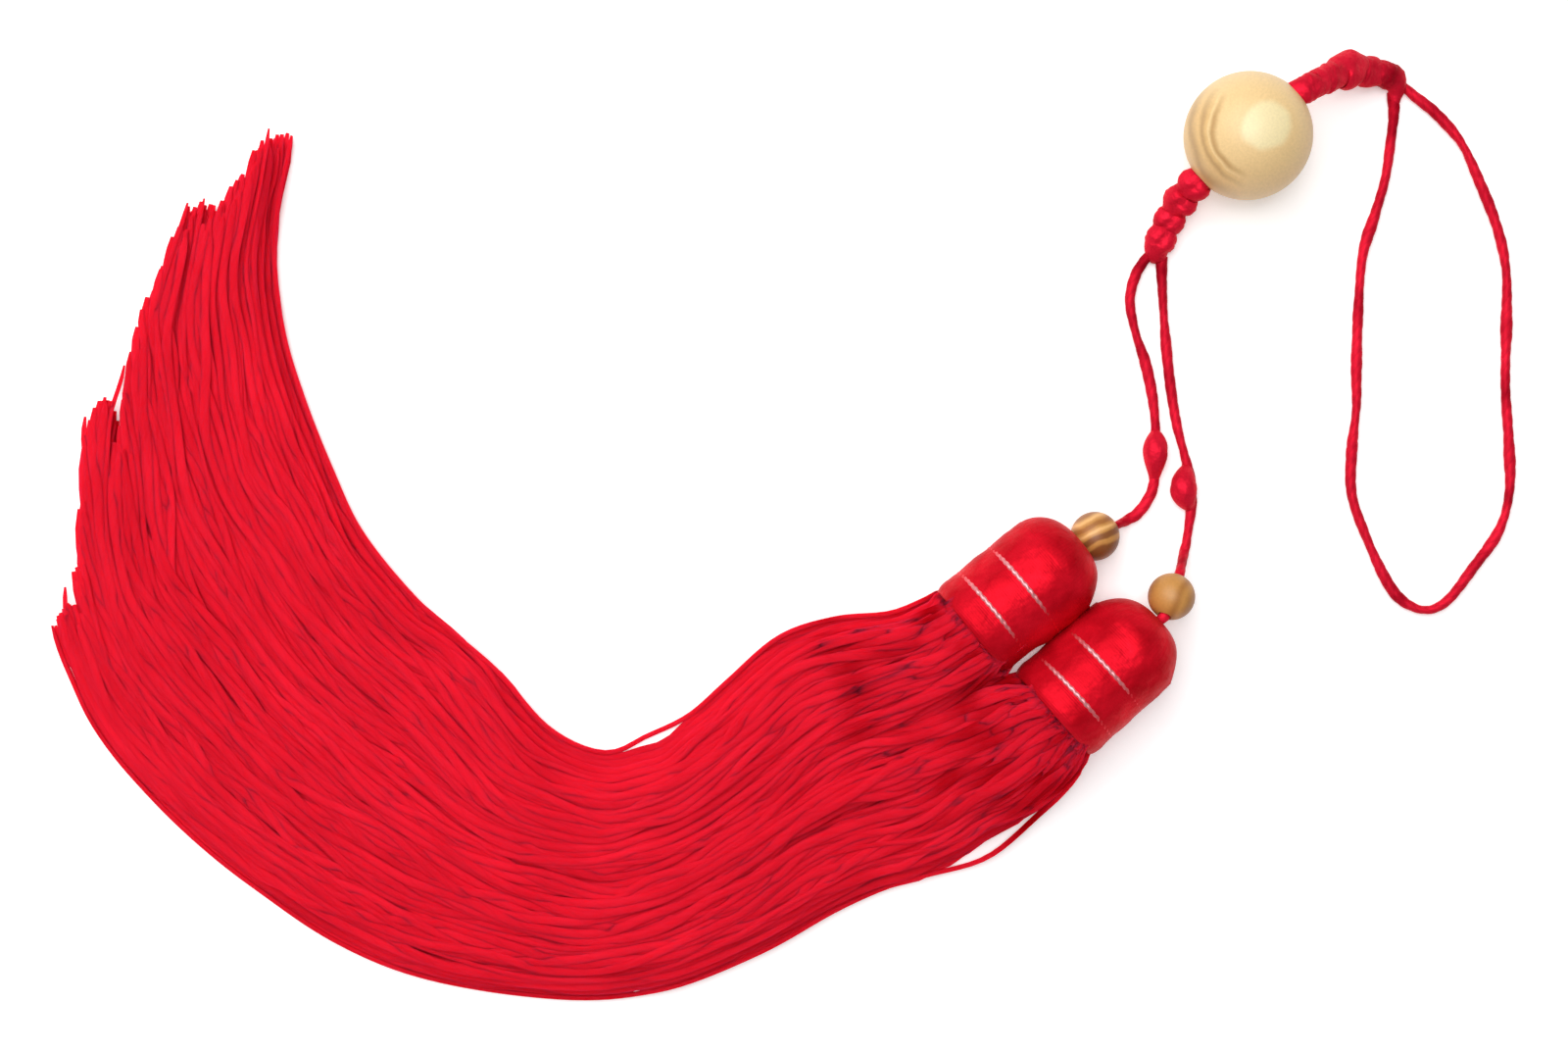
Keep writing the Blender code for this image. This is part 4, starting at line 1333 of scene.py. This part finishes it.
def edge_room(side, yarn, rib, roundness):
    """How far a yarn keeps from the free edge of its fringe (mm); a stray leaves it."""
    if yarn["stray"]:
        place, reach, distance = STRAYS[side]
        return YARN_RADIUS * (1 - roundness) - distance * bump(rib, place, reach)
    edge = YARN_RADIUS + EDGE_SLOPE * yarn["v"] * (1 - roundness)
    for place, reach, depth in DENTS[side]:
        edge += depth * bump(rib, place, reach)
    return edge


print("locks wander", LOCK_WANDER[0], "mm over", LOCK_WANDER[1], "mm")

# %% A yarn's course
SAMPLES = 420
# Yarns start inside their head: how many ribs before its rim, and the length of a rib there (mm)
HEAD_INSIDE = 0.9
ROOT_LENGTH = 14.0
# Rises along the ribs, as start and length: yarns gather from an even fan into locks, are
# free to wander, loosen a little in their lock, and rove across the fringe
GATHERED = (0.25, 1.35)
FREED = (0.4, 2.5)
LOOSENED = (2.0, 4.0)
CROSSED = (2.0, 10.0)
# How wide a free lock is, how much wider it gets, and how much that varies over a length (mm)
LOCK_WIDTH = (0.75, 0.13, 0.12, 60.0)
# How far yarns pass the line where the fringes meet, as a share of their fringe's width
OVERLAP = 0.05


def kept_inside(side, u, kept):
    """Places across a fringe, kept off its free edge and just over its meeting line."""
    if side == "left":
        low, high, u = kept, 1 + OVERLAP, kept + u * (1 - kept)
    else:
        low, high, u = -OVERLAP, 1 - kept, u * (1 - kept)
    u = softened(np.clip(u, low, high), 5)
    return u, low - u, high - u


def yarn_course(side, table, yarn):
    """A yarn's way over the table: points, room on both sides, disc height and roundness."""
    t = np.linspace(-HEAD_INSIDE, yarn["end"] + yarn["cut"], SAMPLES)
    rib = np.maximum(t, 0.0)
    rows = along(table, rib)
    left, right, roundness = rows[:, :2], rows[:, 2:4], np.clip(rows[:, 4], 0, 1)
    middle, half = (left + right) / 2, (right - left) / 2
    width = np.linalg.norm(right - left, axis=1)
    run = run_along(middle)
    to_go = run[-1] - run
    free = ramp(rib, *FREED) ** 1.5
    least, gained, varied, length = LOCK_WIDTH
    spread = least + gained * ramp(rib, *LOOSENED) + varied * waves(run, length, yarn["seed"])
    turn = yarn["turn"] + 2 * math.pi * run / yarn["pitch"]
    own_u = yarn["spread"] / COLUMNS * np.cos(turn) * (1 + (spread - 1) * free)
    fanned = 1 - ramp(rib, *GATHERED) ** 0.8
    evened = np.maximum(fanned, 0.75 * bump(to_go, 0, TIP_FAN))
    crossed = ramp(rib, *CROSSED) if yarn["roves"] else bump(to_go, 0, TIP_STRAIGHT)
    u = yarn["u"] + (yarn["tip_u"] - yarn["u"]) * crossed + own_u + (yarn["fan_u"] - own_u) * evened
    held = not yarn["stray"]
    u = u + wander(yarn, run, free, to_go) * held / width
    u, *room = kept_inside(side, u, edge_room(side, yarn, rib, roundness) / width)
    neck = np.interp(t, NECK_PLACES, NECK_RADII) / BUNDLE_RADIUS
    v = np.clip(yarn["v"] + yarn["spread"] / ROWS * np.sin(turn), 0.02, 0.98)
    v = v + (yarn["fan_v"] - v) * fanned
    across, up = (2 * u - 1) * neck, (2 * v - 1) * neck
    flat = middle + half * across[:, None]
    disc = middle + half * (across * np.sqrt(1 - up * up / 2))[:, None]
    points = flat + (disc - flat) * roundness[:, None]
    inside = np.minimum(t, 0.0)[:, None] * ROOT_LENGTH
    points = points - inside * heading(HEADS[side][2])[:2]
    disc_height = HEAD_HEIGHT + BUNDLE_RADIUS * up * np.sqrt(np.clip(1 - across**2 / 2, 0, 1))
    return points, np.stack(room) * width * held, disc_height, roundness


print("courses have", SAMPLES, "points")

# %% [markdown]
# ### Laying the yarns
#
# The height map is a grid of 0.2 mm cells. A yarn rests where its skin first
# touches the pile below it, at any place across its width, and it is squashed
# to a third of its height there. Yarn is limp but not loose, so its height is the
# highest support nearby, blurred.

# %% Height map
CELL = 0.2
MAP_CORNER = np.array((-135.0, -95.0))
MAP_CELLS = (1050, 950)
SQUASH = 0.34
# Places across a yarn where its skin is tried on the pile, and how far up that skin is there
ACROSS = YARN_RADIUS * np.array((-0.94, -0.57, 0.0, 0.57, 0.94))
LIFT = np.sqrt(YARN_RADIUS**2 - ACROSS**2) * SQUASH
pile = np.zeros(MAP_CELLS)


def cells_of(points):
    """Cells of the height map under points of the table."""
    spots = np.clip(((points - MAP_CORNER) / CELL).astype(int), 0, np.array(MAP_CELLS) - 1)
    return spots[..., 0], spots[..., 1]


def support(points, normals, shift):
    """How high a yarn's centre rests, if it is shifted sideways."""
    spread = points + normals * shift + normals * ACROSS[:, None, None]
    return (pile[cells_of(spread)] + LIFT[:, None]).max(axis=0)


print("a height map of", MAP_CELLS[0], "x", MAP_CELLS[1], "cells")

# %% Lay them on the pile
# Sideways slides that a yarn tries, what a slide costs in height, and how sharply it picks one
SLIDES = np.array((-0.8, -0.4, 0.0, 0.4, 0.8))
SLIDE_COST = 0.25
SLIDE_PICK = 0.08


def lay(points, room):
    """Lay one yarn: returns its points on the table and its heights."""
    ahead = unit(np.gradient(points, axis=0))
    normals = np.stack([-ahead[:, 1], ahead[:, 0]], axis=1)
    levels = np.array([softened(support(points, normals, slide), 9) for slide in SLIDES])
    effort = levels + SLIDE_COST * np.abs(SLIDES)[:, None] - levels.min(axis=0)
    weights = np.exp(-effort / SLIDE_PICK)
    shift = softened((weights * SLIDES[:, None]).sum(axis=0) / weights.sum(axis=0), 12)
    settled = points + normals * np.clip(shift, *room)[:, None]
    rest = support(settled, normals, 0.0)
    height = softened(highest(rest, 2), 4)
    fine = np.linspace(0, len(points) - 1, 3 * len(points))
    count = np.arange(len(points))
    path, aside = points_at(fine, count, settled), points_at(fine, count, normals)
    tops = np.interp(fine, count, height)
    for offset, lift in zip(ACROSS, LIFT):
        cells = cells_of(path + aside * offset)
        pile[cells] = np.maximum(pile[cells], tops + lift)
    return settled, height


def lay_fringes():
    """Lay the yarns of both fringes, lowest first, and hold them round near the heads."""
    rng = np.random.default_rng(20)
    tables = {side: sections(side) for side in HEADS}
    plans = [(side, yarn) for side in HEADS for yarn in plan_yarns(side, rng)]
    plans.sort(key=lambda plan: plan[1]["lock_row"])
    laid = {side: [] for side in HEADS}
    for side, yarn in plans:
        points, room, disc_height, roundness = yarn_course(side, tables[side], yarn)
        settled, height = lay(points, room)
        hold = roundness**0.8
        z = height + (disc_height - height) * hold
        xy = settled + (points - settled) * hold[:, None]
        laid[side].append((np.column_stack([xy, softened(z, 3)]), yarn))
    return laid


laid = lay_fringes()
print(f"laid {sum(len(v) for v in laid.values())} yarns, pile up to {pile.max():.1f} mm")

# %% [markdown]
# ### From lines to yarns
#
# Soft yarn spreads where it lies: each is 1.5 mm wide and a third of a millimetre
# high. Six sides are enough once it is shaded smooth. The lower yarns are hardly
# seen, so they have four sides and fewer rings, in a piece of their own.

# %% Skin the yarns
# Rings and sides of a yarn in the two lower rows of locks and in the two upper ones
UNDER_RINGS = (70, 4)
OVER_RINGS = (112, 6)
UPPER_ROW = 2
# Shares of a yarn's darkness that come from its lock, from itself and from along its length
LOCK_TONE = 0.18
YARN_TONE = 0.22
WAVE_TONE = 0.18
# Painted shadow between the locks: they are darkened where the bundle opens,
# by how much, at which rib, and how far from it
STREAK = 1.3
STREAK_RIB = 1.6
STREAK_REACH = 1.7


def skin(name, yarns, rings, sides):
    """One piece of yarns, each a tube of rings, with its thickness and its tone along it."""
    count = len(yarns)
    lines = np.empty((count, rings, 3))
    for i, (line, _) in enumerate(yarns):
        run = run_along(line)
        lines[i] = points_at(np.linspace(0, run[-1], rings), run, line)
    rng = np.random.default_rng(len(name))
    share = np.linspace(0, 1, rings)
    thick = rng.normal(1.0, 0.06, count) * [yarn["thin"] for _, yarn in yarns]
    thick = thick[:, None] * (1 + 0.05 * np.sin(share * 37 + rng.uniform(0, 6, count)[:, None]))
    ends = np.clip((1 - share) * 90, 0.2, 1) ** 0.5
    tone = np.empty((count, rings))
    for i, (_, yarn) in enumerate(yarns):
        rib = share * yarn["end"]
        shadow_streak = STREAK * bump(rib, STREAK_RIB, STREAK_REACH)
        tone[i] = LOCK_TONE * yarn["tone"] + YARN_TONE * rng.uniform()
        tone[i] += WAVE_TONE * waves(rib, 2.6, yarn["own"])
        # Painted shadow: some locks darken where the bundle opens near the heads
        tone[i] += shadow_streak * np.maximum(0, waves(rib, 2.2, yarn["seed"]))
    tubes = rings_about(lines, YARN_RADIUS * thick * ends, sides, YARN_WIDE, YARN_TALL)
    return ringed(name, tubes, yarn_silk, name.rsplit("_", 1)[0], tone=tone)


for side in HEADS:
    low = [item for item in laid[side] if item[1]["lock_row"] < UPPER_ROW]
    high = [item for item in laid[side] if item[1]["lock_row"] >= UPPER_ROW]
    under = skin(f"fringe_{side}_under", low, *UNDER_RINGS)
    over = skin(f"fringe_{side}_over", high, *OVER_RINGS)
    triangles = sum(len(piece.data.loops) - 2 * len(piece.data.polygons) for piece in (under, over))
    print(f"fringe {side}: {len(low)} lower and {len(high)} upper yarns, {triangles} triangles")

# %% [markdown]
# ## Table and light
#
# A plain pale floor, and soft light as in a small studio: one lamp a metre wide,
# high up beyond the tassel's left end, a smaller and weaker one overhead, and a
# dim pale sky all round. The floor glows faintly, as a light table does, which
# keeps its shadows pale. The standard view keeps the red as strong as the dye.

# %% Floor and lights
FLOOR_HALF = 5.0
FLOOR_DROP = 0.0001
WHITE = (1, 1, 1, 1)

floor_corners = [
    (x * FLOOR_HALF, y * FLOOR_HALF, -FLOOR_DROP) for x, y in ((-1, -1), (1, -1), (1, 1), (-1, 1))
]
floor_mesh = bpy.data.meshes.new("floor")
floor_mesh.from_pydata(floor_corners, [], [(0, 1, 2, 3)])
floor_paint, _, floor_shader = new_paint("pale_floor")
set_inputs(floor_shader, {
    "Base Color": (0.94, 0.94, 0.94, 1), "Roughness": 0.9, "Emission Color": WHITE,
    "Emission Strength": 0.26,
})
floor_mesh.materials.append(floor_paint)
floor = bpy.data.objects.new("floor", floor_mesh)
bpy.context.scene.collection.objects.link(floor)


def lamp(name, place, size, watts):
    """A square soft lamp that faces the tassel."""
    data = bpy.data.lights.new(name, "AREA")
    data.size = size
    data.energy = watts
    made = bpy.data.objects.new(name, data)
    made.location = place
    made.rotation_euler = (-made.location).to_track_quat("-Z", "Y").to_euler()
    bpy.context.scene.collection.objects.link(made)


lamp("key_light", (-0.26, 0.34, 0.86), size=1.0, watts=10.4)
lamp("fill_light", (0.01, 0.0, 0.95), size=0.4, watts=2.6)
world = bpy.data.worlds.new("studio")
world.use_nodes = True
set_inputs(world.node_tree.nodes["Background"], {"Color": WHITE, "Strength": 0.12})
bpy.context.scene.world = world
bpy.context.scene.view_settings.view_transform = "Standard"
print("floor, two lamps and a pale sky")
